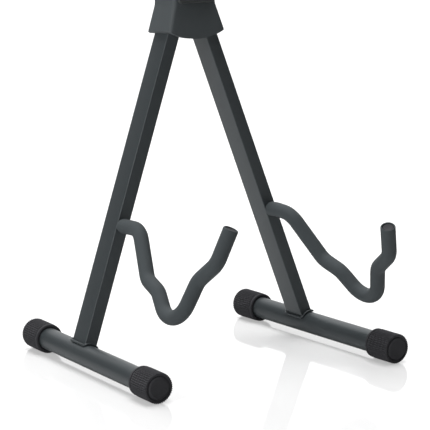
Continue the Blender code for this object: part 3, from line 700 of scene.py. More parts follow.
class GuitarStandSizes(bpy.types.PropertyGroup):
    rib_count: IntProperty(name="Cap ribs", description="Ribs around each foot cap", default=44, min=24)
    rib_depth: length_prop("Rib depth", "How deep the grip ribs of the foot caps are", 0.0012)
    weld_radius: length_prop("Weld bead", "Radius of the bead between leg and foot", 0.0013)
    weld_ripple: length_prop("Weld ripple", "Height of the ripples along the weld bead", 0.00016)
    leg_corner: length_prop("Leg corner", "Corner radius of the leg's tube", 0.0008)
    foam_unevenness: length_prop("Foam unevenness", "How far the foam's skin wanders", 0.00010)
    pad_grooves: IntProperty(name="Pad grooves", description="Grooves across the rest pad",
                             default=6, min=0)
    thread_pitch: length_prop("Thread pitch", "Pitch of the threads on the pivot bolts", 0.0008)


class GuitarStandFinish(bpy.types.PropertyGroup):
    powder_coat: colour_prop("Powder coat", "Legs, feet and welds", (0.024, 0.0275, 0.029))
    moulded_plastic: colour_prop("Moulded plastic", "Hinge housing and its rear cover",
                                 (0.028, 0.0325, 0.0345))
    pad_rubber: colour_prop("Pad rubber", "Rest pad", (0.024, 0.027, 0.028))
    cap_rubber: colour_prop("Cap rubber", "Foot caps and rod tips", (0.017, 0.0205, 0.0215))
    foam: colour_prop("Foam", "Cradle sleeves", (0.030, 0.035, 0.037))
    bare_steel: colour_prop("Bare steel", "Rods and bushes", (0.20, 0.20, 0.20))
    black_zinc: colour_prop("Black zinc", "Bolts, nuts, washers and screws", (0.10, 0.10, 0.11))
    nylon: colour_prop("Nylon", "Thrust and friction washers", (0.62, 0.60, 0.55))


class GuitarStandStage(bpy.types.PropertyGroup):
    camera_place: FloatVectorProperty(
        name="Camera place", description="Where the camera stands", subtype="TRANSLATION", unit="LENGTH",
        size=3, default=(-1.3472, -2.0515, 0.6249))
    camera_turn: FloatProperty(
        name="Camera turn", description="The way the camera looks, turned from +Y",
        subtype="ANGLE", default=math.radians(-33.0968))
    camera_dip: FloatProperty(
        name="Camera dip", description="How far the camera looks down",
        subtype="ANGLE", default=math.radians(10.5528))
    lens: FloatProperty(name="Lens", description="Focal length on a 36 mm sensor", default=187.02,
                        unit="CAMERA")
    key_power: FloatProperty(name="Key light", description="Power of the soft light on the left",
                             default=62.0, unit="POWER")
    top_power: FloatProperty(name="Top light", description="Power of the soft light above",
                             default=110.0, unit="POWER")
    front_power: FloatProperty(name="Front light", description="Power of the weak light in front",
                               default=1.5, unit="POWER")
    surround: FloatProperty(name="Surround", description="Brightness of the room around the stand",
                            default=0.05)
    backdrop_glow: FloatProperty(name="Backdrop glow", default=1.1,
                                 description="Brightness of the wall behind the stand")
    floor_glow: FloatProperty(name="Floor glow", description="Light that the floor gives by itself",
                              default=0.34)


# Operators

class StandOperator:
    """What every operator of the stand shares."""

    bl_options = {"REGISTER"}

    def execute(self, context):
        self.build(context, context.scene.guitar_stand_sizes)
        return {"FINISHED"}


class GUITARSTAND_OT_stage(StandOperator, bpy.types.Operator):
    """Lays the floor, hangs the soft lights and sets up the camera"""
    bl_idname = "guitar_stand.stage"
    bl_label = "Stage"

    def build(self, context, sizes):
        scene = context.scene
        stage = scene.guitar_stand_stage
        scene.view_settings.view_transform = "Standard"
        camera = bpy.data.objects.new("stage_camera", bpy.data.cameras.new("stage_camera"))
        camera.data.lens = stage.lens
        camera.data.sensor_width = 36.0
        camera.data.clip_end = 100.0
        camera.location = stage.camera_place
        camera.rotation_euler = (math.pi / 2 - stage.camera_dip, 0.0, stage.camera_turn)
        scene.collection.objects.link(camera)
        scene.camera = camera
        self.floor(scene, stage)
        self.backdrop(scene, stage)
        self.light(scene, "key", (-2.6, -0.5, 1.3), 1.8, stage.key_power)
        self.light(scene, "top", (0.2, 0.6, 3.0), 2.4, stage.top_power)
        self.light(scene, "front", (1.6, -2.6, 1.2), 1.6, stage.front_power)
        self.surround(scene, stage.surround)

    def floor(self, scene, stage):
        shape = bmesh.new()
        bmesh.ops.create_circle(shape, cap_ends=True, segments=64, radius=30.0)
        mat = self.hang(scene, "stage_floor", shape, "pale_floor")
        nodes = Nodes(mat.node_tree)
        shader = mat.node_tree.nodes["Principled BSDF"]
        cloud = nodes.add("ShaderNodeTexNoise", {
            "Vector": object_point(nodes), "Scale": 3.0, "Detail": 2.0,
        }).outputs[0]
        mat.node_tree.links.new(nodes.spread(cloud, 0.3, 0.7, 0.04, 0.06), shader.inputs["Roughness"])
        seen = nodes.add("ShaderNodeLightPath").outputs["Is Camera Ray"]
        pale = nodes.mix(seen, (0.70, 0.70, 0.70, 1.0), (0.55, 0.55, 0.55, 1.0))
        mat.node_tree.links.new(pale, shader.inputs["Base Color"])
        shader.inputs["Specular IOR Level"].default_value = 0.35
        shader.inputs["Emission Color"].default_value = (1.0, 1.0, 1.0, 1.0)
        glow = nodes.math("MULTIPLY", seen, stage.floor_glow)
        mat.node_tree.links.new(glow, shader.inputs["Emission Strength"])

    def backdrop(self, scene, stage):
        """A white wall behind the stand, square to the camera."""
        shape = bmesh.new()
        bmesh.ops.create_grid(shape, x_segments=1, y_segments=1, size=6.0)
        bmesh.ops.rotate(shape, verts=shape.verts, matrix=Matrix.Rotation(math.pi / 2, 3, "X"))
        bmesh.ops.translate(shape, verts=shape.verts, vec=(0.0, 7.0, 6.0))
        bmesh.ops.rotate(shape, verts=shape.verts, matrix=Matrix.Rotation(stage.camera_turn, 3, "Z"))
        mat = self.hang(scene, "stage_backdrop", shape, "white_wall")
        shader = mat.node_tree.nodes["Principled BSDF"]
        shader.inputs["Base Color"].default_value = (0.8, 0.8, 0.8, 1.0)
        shader.inputs["Emission Color"].default_value = (1.0, 1.0, 1.0, 1.0)
        shader.inputs["Emission Strength"].default_value = stage.backdrop_glow

    def hang(self, scene, name, shape, finish):
        """Adds a stage object and gives it a new material."""
        obj = bpy.data.objects.new(name, as_mesh(shape, name))
        mat = bpy.data.materials.new(finish)
        mat.use_nodes = True
        obj.data.materials.append(mat)
        scene.collection.objects.link(obj)
        return mat

    def light(self, scene, name, place, size, power):
        lamp = bpy.data.lights.new(f"stage_{name}", "AREA")
        lamp.shape = "DISK"
        lamp.size = size
        lamp.energy = power
        obj = bpy.data.objects.new(f"stage_{name}", lamp)
        obj.location = place
        aim = Vector((0.0, 0.0, 0.2)) - Vector(place)
        obj.rotation_euler = aim.to_track_quat("-Z", "Y").to_euler()
        scene.collection.objects.link(obj)

    def surround(self, scene, strength):
        world = bpy.data.worlds.new("stage_surround")
        world.use_nodes = True
        scene.world = world
        nodes = Nodes(world.node_tree)
        path = nodes.add("ShaderNodeLightPath")
        backdrop = world.node_tree.nodes["Background"]
        backdrop.inputs["Color"].default_value = (1.0, 1.0, 1.0, 1.0)
        level = nodes.spread(path.outputs["Is Camera Ray"], 0.0, 1.0, strength, 1.2)
        world.node_tree.links.new(level, backdrop.inputs["Strength"])


class GUITARSTAND_OT_legs(StandOperator, bpy.types.Operator):
    """Makes the two flat rectangular leg tubes"""
    bl_idname = "guitar_stand.legs"
    bl_label = "Legs"

    def build(self, context, sizes):
        for name, side in SIDES:
            leg = leg_frame(name)
            pivot_up = leg_height(joint_place(name, "leg_fold")[0], name)
            arm_up = leg_height(joint_place(name, "arm_swivel")[0], name)
            top = pivot_up + LEG_ABOVE_PIVOT
            shape = bmesh.new()
            verts = [shape.verts.new((x * LEG_WIDTH / 2, y * LEG_DEPTH / 2, 0.0)) for x, y in CORNERS]
            shape.faces.new(verts)
            bmesh.ops.bevel(shape, geom=verts, offset=sizes.leg_corner, segments=6, affect="VERTICES",
                            profile=0.5, material=-1)
            bmesh.ops.delete(shape, geom=shape.faces[:], context="FACES_ONLY")
            bottom = shape.verts[:]
            loop = shape.edges[:]
            sections = 12
            for _ in range(sections):
                pushed = bmesh.ops.extrude_edge_only(shape, edges=loop)["geom"]
                moved = [item for item in pushed if isinstance(item, bmesh.types.BMVert)]
                loop = [item for item in pushed if isinstance(item, bmesh.types.BMEdge)
                        and item.verts[0] in moved and item.verts[1] in moved]
                bmesh.ops.translate(shape, verts=moved, vec=(0.0, 0.0, top / sections))
            self.seat(bottom, foot_frame(name), leg)
            bmesh.ops.recalc_face_normals(shape, faces=shape.faces)
            bmesh.ops.solidify(shape, geom=shape.faces[:], thickness=LEG_WALL)
            bmesh.ops.recalc_face_normals(shape, faces=shape.faces)
            shape = carved(shape, [
                ("DIFFERENCE", rod_along_y(radius + TOUCH, -LEG_DEPTH, LEG_DEPTH, 32, z=height))
                for radius, height in ((BUSH_RADIUS, pivot_up), (ROD_RADIUS, arm_up))
            ])
            finish_piece(f"leg_tube_{name}", shape, leg, f"{name}_leg", "powder_coat", (f"leg_{name}",))

    def seat(self, verts, foot, leg):
        """Runs the lower end down the leg until it lies on the foot's tube."""
        into_foot = foot.inverted() @ leg
        up = into_foot.to_3x3().col[2]
        for vert in verts:
            vert.co.z += climb_to_tube(into_foot @ vert.co, up, FOOT_RADIUS + TOUCH)


class GUITARSTAND_OT_feet(StandOperator, bpy.types.Operator):
    """Makes the round foot tubes"""
    bl_idname = "guitar_stand.feet"
    bl_label = "Feet"

    def build(self, context, sizes):
        inset = CAP_END + TOUCH
        front = FOOT_REAR - FOOT_LENGTH + inset
        rear = FOOT_REAR - inset
        inner = FOOT_RADIUS - FOOT_WALL
        edge = 0.0006
        outside = [(FOOT_RADIUS, along) for along in spaced(rear - edge, front + edge, 0.012)]
        profile = [(inner, rear), (FOOT_RADIUS - edge, rear), *outside,
                   (FOOT_RADIUS, front + edge), (FOOT_RADIUS - edge, front), (inner, front)]
        for name, _ in SIDES:
            finish_piece(f"foot_pipe_{name}", turned(profile, 96, True), foot_frame(name),
                         f"{name}_leg", "powder_coat", (f"foot_tube_{name}",))


class GUITARSTAND_OT_welds(StandOperator, bpy.types.Operator):
    """Lays the rippled weld bead where each leg stands on its foot"""
    bl_idname = "guitar_stand.welds"
    bl_label = "Welds"

    def build(self, context, sizes):
        for name, _ in SIDES:
            foot = foot_frame(name)
            to_foot = foot.inverted() @ leg_frame(name)
            up = to_foot.to_3x3().col[2]
            off = sizes.weld_radius + TOUCH
            points = self.path(to_foot, up, sizes.leg_corner + off, FOOT_RADIUS + off, off)
            stops = []
            for index, point in enumerate(points):
                after = points[(index + 1) % len(points)]
                stops.append((point, (after - points[index - 1]).normalized()))
            stops.append(stops[0])
            route = Route(stops, lambda heading: heading.cross(up).normalized())
            rings = spaced(0.0, route.length, 0.00055) + [route.length]
            bead = turned([(sizes.weld_radius, along) for along in rings], 20)
            ripple = sizes.weld_ripple
            waves = round(route.length / 0.0023)
            for vert in bead.verts:
                turn = math.tau * vert.co.y / route.length
                phase = waves * turn + 0.8 * math.cos(round_angle(vert))
                swell = 0.25 * noise.noise(Vector((math.cos(turn), math.sin(turn), 0.3)) * 3)
                sink(vert, ripple * (0.5 - 0.5 * math.cos(phase) + abs(swell)))
            route.bend(bead)
            finish_piece(f"weld_bead_{name}", bead, foot, f"{name}_leg", "powder_coat",
                         (f"foot_weld_{name}",), math.radians(80))

    def path(self, to_foot, up, corner, reach, off):
        """The corner between leg and foot, a bead's radius away from both."""
        half_x = LEG_WIDTH / 2 + off
        half_y = LEG_DEPTH / 2 + off
        outline = bmesh.new()
        verts = [outline.verts.new((x * half_x, y * half_y, 0.0)) for x, y in CORNERS]
        outline.faces.new(verts)
        bmesh.ops.bevel(outline, geom=verts, offset=corner, segments=8, affect="VERTICES",
                        profile=0.5, material=-1)
        long_edges = [edge for edge in outline.edges if edge.calc_length() > 0.002]
        bmesh.ops.subdivide_edges(outline, edges=long_edges, cuts=14)
        points = []
        for loop in outline.faces[:][0].loops:
            start = to_foot @ loop.vert.co
            points.append(start + up * climb_to_tube(start, up, reach))
        outline.free()
        return points


class GUITARSTAND_OT_foot_caps(StandOperator, bpy.types.Operator):
    """Makes the four ribbed rubber foot caps"""
    bl_idname = "guitar_stand.foot_caps"
    bl_label = "Foot caps"

    def build(self, context, sizes):
        turn_round = Matrix.Rotation(math.pi, 4, "Z")
        for name, _ in SIDES:
            foot = foot_frame(name)
            rear = foot @ Matrix.Translation((0.0, FOOT_REAR, 0.0))
            front = foot @ Matrix.Translation((0.0, FOOT_REAR - FOOT_LENGTH, 0.0)) @ turn_round
            for end, place in (("rear", rear), ("front", front)):
                finish_piece(f"ribbed_cap_{end}_{name}", self.cap(sizes), place, f"{name}_leg",
                             "cap_rubber", (f"foot_cap_{end}_{name}",), math.radians(50))

    def cap(self, sizes):
        """A cup with its closed end at y = 0 and its mouth towards -Y."""
        bore = FOOT_RADIUS + TOUCH
        collar = -CAP_LENGTH + CAP_COLLAR
        shoulder = -0.0021
        groove = collar + 0.0016
        profile = [
            (0.0, -0.00015), (0.0060, -0.00012), (CAP_DISC_RADIUS - 0.0022, 0.0),
            (CAP_DISC_RADIUS - 0.0014, -0.0001), (CAP_DISC_RADIUS - 0.0004, -0.0007),
            (CAP_DISC_RADIUS, -0.0015), (CAP_DISC_RADIUS + 0.0003, -0.0019),
            (CAP_DISC_RADIUS + 0.0008, -0.0019), (CAP_DISC_RADIUS + 0.0014, -0.0012),
            (CAP_DISC_RADIUS + 0.0022, -0.0009), (CAP_RADIUS - 0.0011, -0.0009),
            (CAP_RADIUS - 0.0004, -0.0012), (CAP_RADIUS - 0.0001, -0.0016), (CAP_RADIUS, shoulder),
            *((CAP_RADIUS, along) for along in spaced(shoulder - 0.002, groove, 0.006)),
            (CAP_RADIUS, groove + 0.0004), (CAP_RADIUS - 0.0004, groove),
            (CAP_RADIUS - 0.0014, groove - 0.0002), (CAP_RADIUS - 0.0014, collar + 0.0002),
            (CAP_RADIUS - 0.0005, collar), (CAP_RADIUS - 0.0003, collar - 0.0004),
            (CAP_RADIUS - 0.0003, -CAP_LENGTH + 0.0006), (CAP_RADIUS - 0.0009, -CAP_LENGTH),
            (bore + 0.0006, -CAP_LENGTH), (bore, -CAP_LENGTH + 0.0006),
            (bore, -CAP_END), (0.0, -CAP_END),
        ]
        steps = 8
        shape = turned(profile, sizes.rib_count * steps)
        for vert in shape.verts:
            radius = math.hypot(vert.co.x, vert.co.z)
            if radius < CAP_RADIUS - 0.0012 or vert.co.y < groove - 0.0001:
                continue
            wave = 0.5 - 0.5 * math.cos(round_angle(vert) * sizes.rib_count)
            depth = sizes.rib_depth * min(1.0, wave * 1.15)
            if vert.co.y > shoulder + 0.0001 or vert.co.y < groove + 0.0003:
                depth *= 0.6
            sink(vert, depth)
        return shape


class GUITARSTAND_OT_cradle_arms(StandOperator, bpy.types.Operator):
    """Makes the bent rods, their foam sleeves and their tip caps"""
    bl_idname = "guitar_stand.cradle_arms"
    bl_label = "Cradle arms"

    def build(self, context, sizes):
        for name, side in SIDES:
            place = arm_frame(name, side)
            self.sleeve(sizes, name, place)
            self.rod(sizes, name, place)
            self.tip_cap(name, place)

    def sleeve(self, sizes, name, place):
        route = arm_route(name, -LEG_FRONT - TOUCH)
        end = route.length
        bore = ROD_RADIUS + TOUCH
        room = TIP_CAP_RADIUS + TOUCH
        floor = end - TIP_CAP_LENGTH - TIP_SET_IN - TOUCH
        outer = FOAM_RADIUS
        profile = [
            (COLLAR_ROOM, 0.0), (outer - 0.0010, 0.0), (outer - 0.0003, 0.0003), (outer, 0.0011),
            *((outer, along) for along in spaced(0.0026, end - 0.0030, 0.0016)),
            (outer, end - 0.0014), (outer - 0.00015, end - 0.0007), (outer - 0.0006, end - 0.0002),
            (outer - 0.0012, end), (room + 0.0006, end), (room + 0.0001, end - 0.0004),
            (room, end - 0.0012), (room, floor), (bore, floor),
            *((bore, along) for along in spaced(end - 0.018, 0.008, 0.003)),
            (bore, 0.0024), (COLLAR_ROOM, 0.0024),
        ]
        shape = turned(profile, 48, True)
        for vert in shape.verts:
            if math.hypot(vert.co.x, vert.co.z) > outer - 0.0004:
                spot = Vector((vert.co.x * 60, vert.co.y * 28, vert.co.z * 60))
                lift = noise.noise(spot + Vector((0.0, 7.0 if name == "left" else 31.0, 0.0)))
                sink(vert, sizes.foam_unevenness * (0.5 + lift))
        route.bend(shape)
        obj = finish_piece(f"foam_sleeve_{name}", shape, place, f"{name}_arm", "foam",
                           (f"cradle_foam_{name}",), math.radians(60))

    def rod(self, sizes, name, place):
        rear = LEG_FRONT + 2 * TOUCH + ARM_WASHER_THICK + RETAINER_THICK + ROD_PAST_RETAINER
        route = arm_route(name, rear)
        end = route.length - TIP_SET_IN - TIP_CAP_END - TOUCH
        smooth = ROD_RADIUS - 0.0001
        face = rear + LEG_FRONT + TOUCH
        profile = [(0.0, 0.0), (ROD_RADIUS - 0.0007, 0.0), (smooth, 0.0006), (smooth, face)]
        profile += [(COLLAR_RADIUS, face), (COLLAR_RADIUS, face + 0.0014),
                    (COLLAR_RADIUS - 0.0002, face + 0.0016), (smooth, face + 0.0016)]
        profile += [(smooth, along) for along in spaced(face + 0.004, end - 0.001, 0.003)]
        profile += [(smooth, end - 0.0006), (smooth - 0.0006, end), (0.0, end)]
        shape = turned(profile, 32)
        route.bend(shape)
        finish_piece(f"cradle_wire_{name}", shape, place, f"{name}_arm", "bare_steel",
                     (f"cradle_rod_{name}",), math.radians(50))

    def tip_cap(self, name, place):
        route = arm_route(name, -LEG_FRONT)
        tip = route.at(route.length)
        out = -TIP_SET_IN
        radius = TIP_CAP_RADIUS
        bore = ROD_RADIUS + TOUCH
        profile = [
            (0.0, out - 0.0006), (radius - 0.0024, out - 0.0005), (radius - 0.0017, out - 0.0002),
            (radius - 0.0011, out), (radius - 0.0005, out - 0.0001), (radius - 0.0001, out - 0.0006),
            (radius, out - 0.0012), (radius, out - TIP_CAP_LENGTH + 0.0004),
            (radius - 0.0004, out - TIP_CAP_LENGTH), (bore, out - TIP_CAP_LENGTH),
            (bore, out - TIP_CAP_END), (0.0, out - TIP_CAP_END),
        ]
        finish_piece(f"tip_plug_{name}", turned(profile, 40), place @ tip, f"{name}_arm", "cap_rubber",
                     (f"cradle_tip_cap_{name}",))


def cut_thread(shape, start, end, pitch, depth):
    """Sinks a screw thread into the round part between start and end."""
    for vert in shape.verts:
        radius = math.hypot(vert.co.x, vert.co.z)
        if start - MERGE < vert.co.y < end and radius > pitch:
            phase = (vert.co.y / pitch + round_angle(vert) / math.tau) % 1.0
            sink(vert, depth * abs(2 * phase - 1))


def washer(inner, outer, start, end, edge=0.0002, steps=48):
    """A flat ring along Y with eased rims."""
    return turned((
        (inner, end), (outer - edge, end), (outer, end - edge), (outer, start + edge),
        (outer - edge, start), (inner, start),
    ), steps, True)


def nut(radius, bore, start, end):
    """A hexagon nut with turned-off corners and a bore with chamfered mouths."""
    body, cone = chamfered_hex(radius, start, end)
    cutter = turned((
        (0.0, start - 0.001), (bore + 0.0016, start - 0.001), (bore, start + 0.0006),
        (bore, end - 0.0006), (bore + 0.0016, end + 0.001), (0.0, end + 0.001),
    ), 40)
    return carved(body, (("INTERSECT", cone), ("DIFFERENCE", cutter)))


class GUITARSTAND_OT_arm_hardware(StandOperator, bpy.types.Operator):
    """Makes the friction washers and push-on retainers behind the legs"""
    bl_idname = "guitar_stand.arm_hardware"
    bl_label = "Arm hardware"

    def build(self, context, sizes):
        bore = ROD_RADIUS + TOUCH
        start = LEG_FRONT + TOUCH
        end = start + ARM_WASHER_THICK
        for name, side in SIDES:
            place = arm_frame(name, side)
            body = f"{name}_arm"
            ring = washer(bore, bore + ARM_WASHER_EDGE, start, end)
            finish_piece(f"friction_washer_{name}", ring, place, body, "nylon", (f"arm_washer_{name}",))
            finish_piece(f"push_retainer_{name}", self.retainer(bore, end + TOUCH), place, body,
                         "black_zinc", (f"arm_retainer_{name}",))

    def retainer(self, bore, start):
        """A domed spring ring with notched teeth at its bore."""
        rim = bore + RETAINER_EDGE
        end = start + RETAINER_THICK
        shape = turned((
            (bore, end), (bore + 0.0003, end), (rim - 0.0003, start + 0.0007), (rim, start + 0.0004),
            (rim, start), (bore, start + 0.0002),
        ), 48, True)
        for vert in shape.verts:
            at_bore = math.hypot(vert.co.x, vert.co.z) < bore + 0.0001
            if at_bore and math.cos(6 * round_angle(vert)) > 0.5:
                sink(vert, -0.0003)
        return shape


class GUITARSTAND_OT_pivot_hardware(StandOperator, bpy.types.Operator):
    """Makes each leg's pivot bolt, bush, washers and nut"""
    bl_idname = "guitar_stand.pivot_hardware"
    bl_label = "Pivot hardware"

    def build(self, context, sizes):
        for name, _ in SIDES:
            place = pivot_frame(name)
            leg = f"{name}_leg"
            head_in = -HOUSING_FRONT - TOUCH
            washer_in = COVER_OUT + TOUCH + WASHER_SPACE
            washer_out = washer_in + WASHER_THICK
            nut_in = washer_out + TOUCH
            nut_out = nut_in + NUT_HEIGHT
            self.bolt(sizes, name, place, head_in, nut_out + BOLT_PAST_NUT)
            finish_piece(f"steel_washer_{name}", washer(HOLE, STEEL_WASHER_RADIUS, washer_in, washer_out),
                         place, body_of(f"nut_washer_{name}"), "black_zinc", (f"nut_washer_{name}",))
            finish_piece(f"lock_nut_{name}", nut(BOLT_HEAD_RADIUS, HOLE, nut_in, nut_out),
                         place, body_of(f"pivot_nut_{name}"), "black_zinc", (f"pivot_nut_{name}",),
                         math.radians(20))
            bush = WALL_Y - WASHER_SPACE
            finish_piece(f"pivot_sleeve_{name}", washer(HOLE, BUSH_RADIUS, -bush, bush), place,
                         body_of(f"pivot_bush_{name}"), "bare_steel", (f"pivot_bush_{name}",))
            for end, start in (("front", -LEG_FRONT - TOUCH - WASHER_THICK), ("rear", LEG_FRONT + TOUCH)):
                node = f"thrust_washer_{end}_{name}"
                ring = washer(BUSH_RADIUS + TOUCH, THRUST_RADIUS, start, start + WASHER_THICK)
                finish_piece(f"nylon_washer_{end}_{name}", ring, place, body_of(node), "nylon", (node,))

    def bolt(self, sizes, name, place, head_in, end):
        head, cone = chamfered_hex(BOLT_HEAD_RADIUS, head_in - BOLT_HEAD_HEIGHT, head_in)
        inside = head_in - BOLT_HEAD_HEIGHT / 2
        plain = BOLT_RADIUS - 0.0001
        pitch = sizes.thread_pitch
        thread = end - THREAD_LENGTH
        profile = [(0.0, inside), (plain, inside), (plain, thread - 0.0002)]
        profile += [(BOLT_RADIUS, along) for along in spaced(thread, end - 0.0006, pitch / 8)]
        profile += [(BOLT_RADIUS - 0.0008, end), (0.0, end)]
        shank = turned(profile, 32)
        cut_thread(shank, thread, end - 0.0005, pitch, pitch * 0.45)
        shape = carved(head, (("INTERSECT", cone), ("UNION", shank)))
        finish_piece(f"hex_bolt_{name}", shape, place, body_of(f"pivot_bolt_{name}"), "black_zinc",
                     (f"pivot_bolt_{name}",), math.radians(20))


def pivot_cuts(place, radius, start, end):
    """Round cutters about both pivots' axes, in the frame at place."""
    cuts = []
    for name, _ in SIDES:
        hole = rod_along_y(radius, start, end, 32)
        bmesh.ops.transform(hole, matrix=place.inverted() @ pivot_frame(name), verts=hole.verts)
        cuts.append(("DIFFERENCE", hole))
    return cuts


def screw_cuts(start):
    """Round cutters about the cover screws."""
    return [("DIFFERENCE", rod_along_y(SCREW_RADIUS + TOUCH, start, FAR, 24, x, z))
            for x, z in SCREW_PLACES]


def body_of(node):
    """The body that a CAD node rides on."""
    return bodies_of(frame["nodes"][node])[0]


class GUITARSTAND_OT_housing(StandOperator, bpy.types.Operator):
    """Makes the moulded hinge housing and its rear cover"""
    bl_idname = "guitar_stand.housing"
    bl_label = "Hinge housing"

    def build(self, context, sizes):
        place = housing_frame()
        self.shell(place)
        self.cover(place)

    def outside(self):
        """The housing's outer form, raised level by level from its lowest outline."""
        low = -SKIRT_SIDE_BELOW - SKIRT_SAG - 0.002
        drop = -WAIST_BELOW - low
        half = WAIST_HALF + SKIRT_SLOPE * drop
        front = HOUSING_FRONT + SKIRT_FLARE_FRONT * drop
        rear = HOUSING_REAR + SKIRT_FLARE_REAR * drop
        shape = bmesh.new()
        verts = [shape.verts.new((x * half, rear if y > 0 else -front, low)) for x, y in CORNERS]
        shape.faces.new(verts)
        bmesh.ops.bevel(shape, geom=verts, offset=HOUSING_CORNER, segments=8, affect="VERTICES",
                        profile=0.5, material=-1)
        face = bottom = shape.faces[:][0]
        levels = [(half, front, rear, low)]
        for share in (0.25, 0.5, 0.75):
            levels.append((half + (WAIST_HALF - half) * share, front + (HOUSING_FRONT - front) * share,
                           rear + (HOUSING_REAR - rear) * share, low + drop * share))
        ease = 0.0025
        levels += [
            (WAIST_HALF + SKIRT_SLOPE * ease, HOUSING_FRONT + SKIRT_FLARE_FRONT * ease,
             HOUSING_REAR + SKIRT_FLARE_REAR * ease, -WAIST_BELOW - ease),
            (WAIST_HALF + 0.00022, HOUSING_FRONT + 0.00008, HOUSING_REAR + 0.00004, -WAIST_BELOW - 0.0005),
            (WAIST_HALF - 0.00010, HOUSING_FRONT, HOUSING_REAR, -WAIST_BELOW + 0.0018),
        ]
        for share in (0.25, 0.5, 0.75):
            levels.append((WAIST_HALF + (HEAD_HALF - WAIST_HALF) * share, HOUSING_FRONT, HOUSING_REAR,
                           -WAIST_BELOW + (HEAD_ABOVE - HEAD_ROUND + WAIST_BELOW) * share))
        for turn in range(0, 91, 15):
            angle = math.radians(turn)
            inward = HEAD_ROUND * (1 - math.cos(angle))
            levels.append((HEAD_HALF - inward, HOUSING_FRONT - inward, HOUSING_REAR - inward / 2,
                           HEAD_ABOVE - HEAD_ROUND + HEAD_ROUND * math.sin(angle)))
        here = levels[0]
        for level in levels[1:]:
            pushed = bmesh.ops.extrude_face_region(shape, geom=[face])["geom"]
            if face is not bottom:
                bmesh.ops.delete(shape, geom=[face], context="FACES_ONLY")
            face = next(item for item in pushed if isinstance(item, bmesh.types.BMFace))
            for vert in face.verts:
                vert.co.x += (level[0] - here[0]) * math.copysign(1.0, vert.co.x)
                vert.co.y += level[2] - here[2] if vert.co.y > 0 else here[1] - level[1]
                vert.co.z = level[3]
            here = level
        bmesh.ops.recalc_face_normals(shape, faces=shape.faces)
        return shape

    def lower_outline(self):
        """Everything above the skirt's lower edge, which sags in the middle and rounds up at both ends."""
        half = WAIST_HALF + SKIRT_SLOPE * (SKIRT_SIDE_BELOW - WAIST_BELOW)
        radius = (half ** 2 + SKIRT_SAG ** 2) / (2 * SKIRT_SAG)
        middle = -SKIRT_SIDE_BELOW - SKIRT_SAG + radius
        straight = half - SKIRT_CORNER
        across = [straight * step / 20 for step in range(21)]
        across += [straight + SKIRT_CORNER * math.sin(math.radians(turn)) for turn in range(15, 91, 15)]
        right = []
        for x in across:
            past = max(0.0, x - straight)
            rise = SKIRT_CORNER - math.sqrt(max(0.0, SKIRT_CORNER ** 2 - past ** 2))
            right.append((x, middle - math.sqrt(radius ** 2 - x ** 2) + rise))
        wide = half + 0.010
        top = HEAD_ABOVE + 0.010
        right += [(wide, right[-1][1]), (wide, top)]
        left = [(-x, z) for x, z in reversed(right[1:])]
        return slab(left + right, -0.04, 0.04)

    def room(self):
        """The space that both legs need, from open to folded."""
        low = -0.056
        wide = ROOM_HALF - low * ROOM_SLOPE
        return slab(((-wide, low), (wide, low), (ROOM_HALF, 0.0), (ROOM_HALF, ROOM_ABOVE),
                     (-ROOM_HALF, ROOM_ABOVE), (-ROOM_HALF, 0.0)), -WALL_Y, FAR)

    def cover_outline(self, grow):
        inset = COVER_RIM - grow
        low = WAIST_HALF + SKIRT_SLOPE * (COVER_BELOW - WAIST_BELOW) - inset
        head = HEAD_HALF - inset
        top = COVER_ABOVE + grow
        bottom = -COVER_BELOW - grow
        right = [(low, bottom), (WAIST_HALF - inset, -WAIST_BELOW), (head, top - COVER_CORNER),
                 (head - COVER_CORNER, top)]
        return [(-low, bottom), *right, *((-x, z) for x, z in reversed(right[1:]))]

    def shell(self, place):
        ledge = WALL_Y - TOUCH
        pocket = rectangle(*POCKET_HALF, POCKET_MIDDLE)
        cuts = [
            ("INTERSECT", self.lower_outline()),
            ("DIFFERENCE", self.room()),
            ("DIFFERENCE", slab(self.cover_outline(TOUCH), ledge, FAR)),
            ("DIFFERENCE", slab(pocket, -HOUSING_FRONT + 0.0080, FAR, 0.0015)),
            ("UNION", rod_along_y(BOSS_RADIUS, -WALL_Y - 0.0016, ledge, 32, z=-BOSS_BELOW)),
            *screw_cuts(COVER_OUT - SCREW_DEPTH - TOUCH),
            *pivot_cuts(place, HOLE, -FAR, 0.0),
        ]
        shape = carved(self.outside(), cuts)
        finish_piece("housing_shell", shape, place, "head", "moulded_plastic", ("hinge_housing",),
                     math.radians(32))

    def cover(self, place):
        plate = slab(self.cover_outline(0.0), WALL_Y, COVER_OUT)
        soften(plate, 0.0006, 3, 40.0, lambda edge: all(v.co.y > COVER_OUT - MERGE for v in edge.verts))
        cuts = screw_cuts(0.0) + pivot_cuts(place, HOLE, 0.0, FAR)
        for height in (0.0180, 0.0225, 0.0270):
            groove = slab(rectangle(0.012, 0.0005, height), COVER_OUT - 0.0005, FAR, 0.00045, 3)
            cuts.append(("DIFFERENCE", groove))
        finish_piece("rear_cover_plate", carved(plate, cuts), place, "head", "moulded_plastic",
                     ("housing_rear_cover",), math.radians(32))


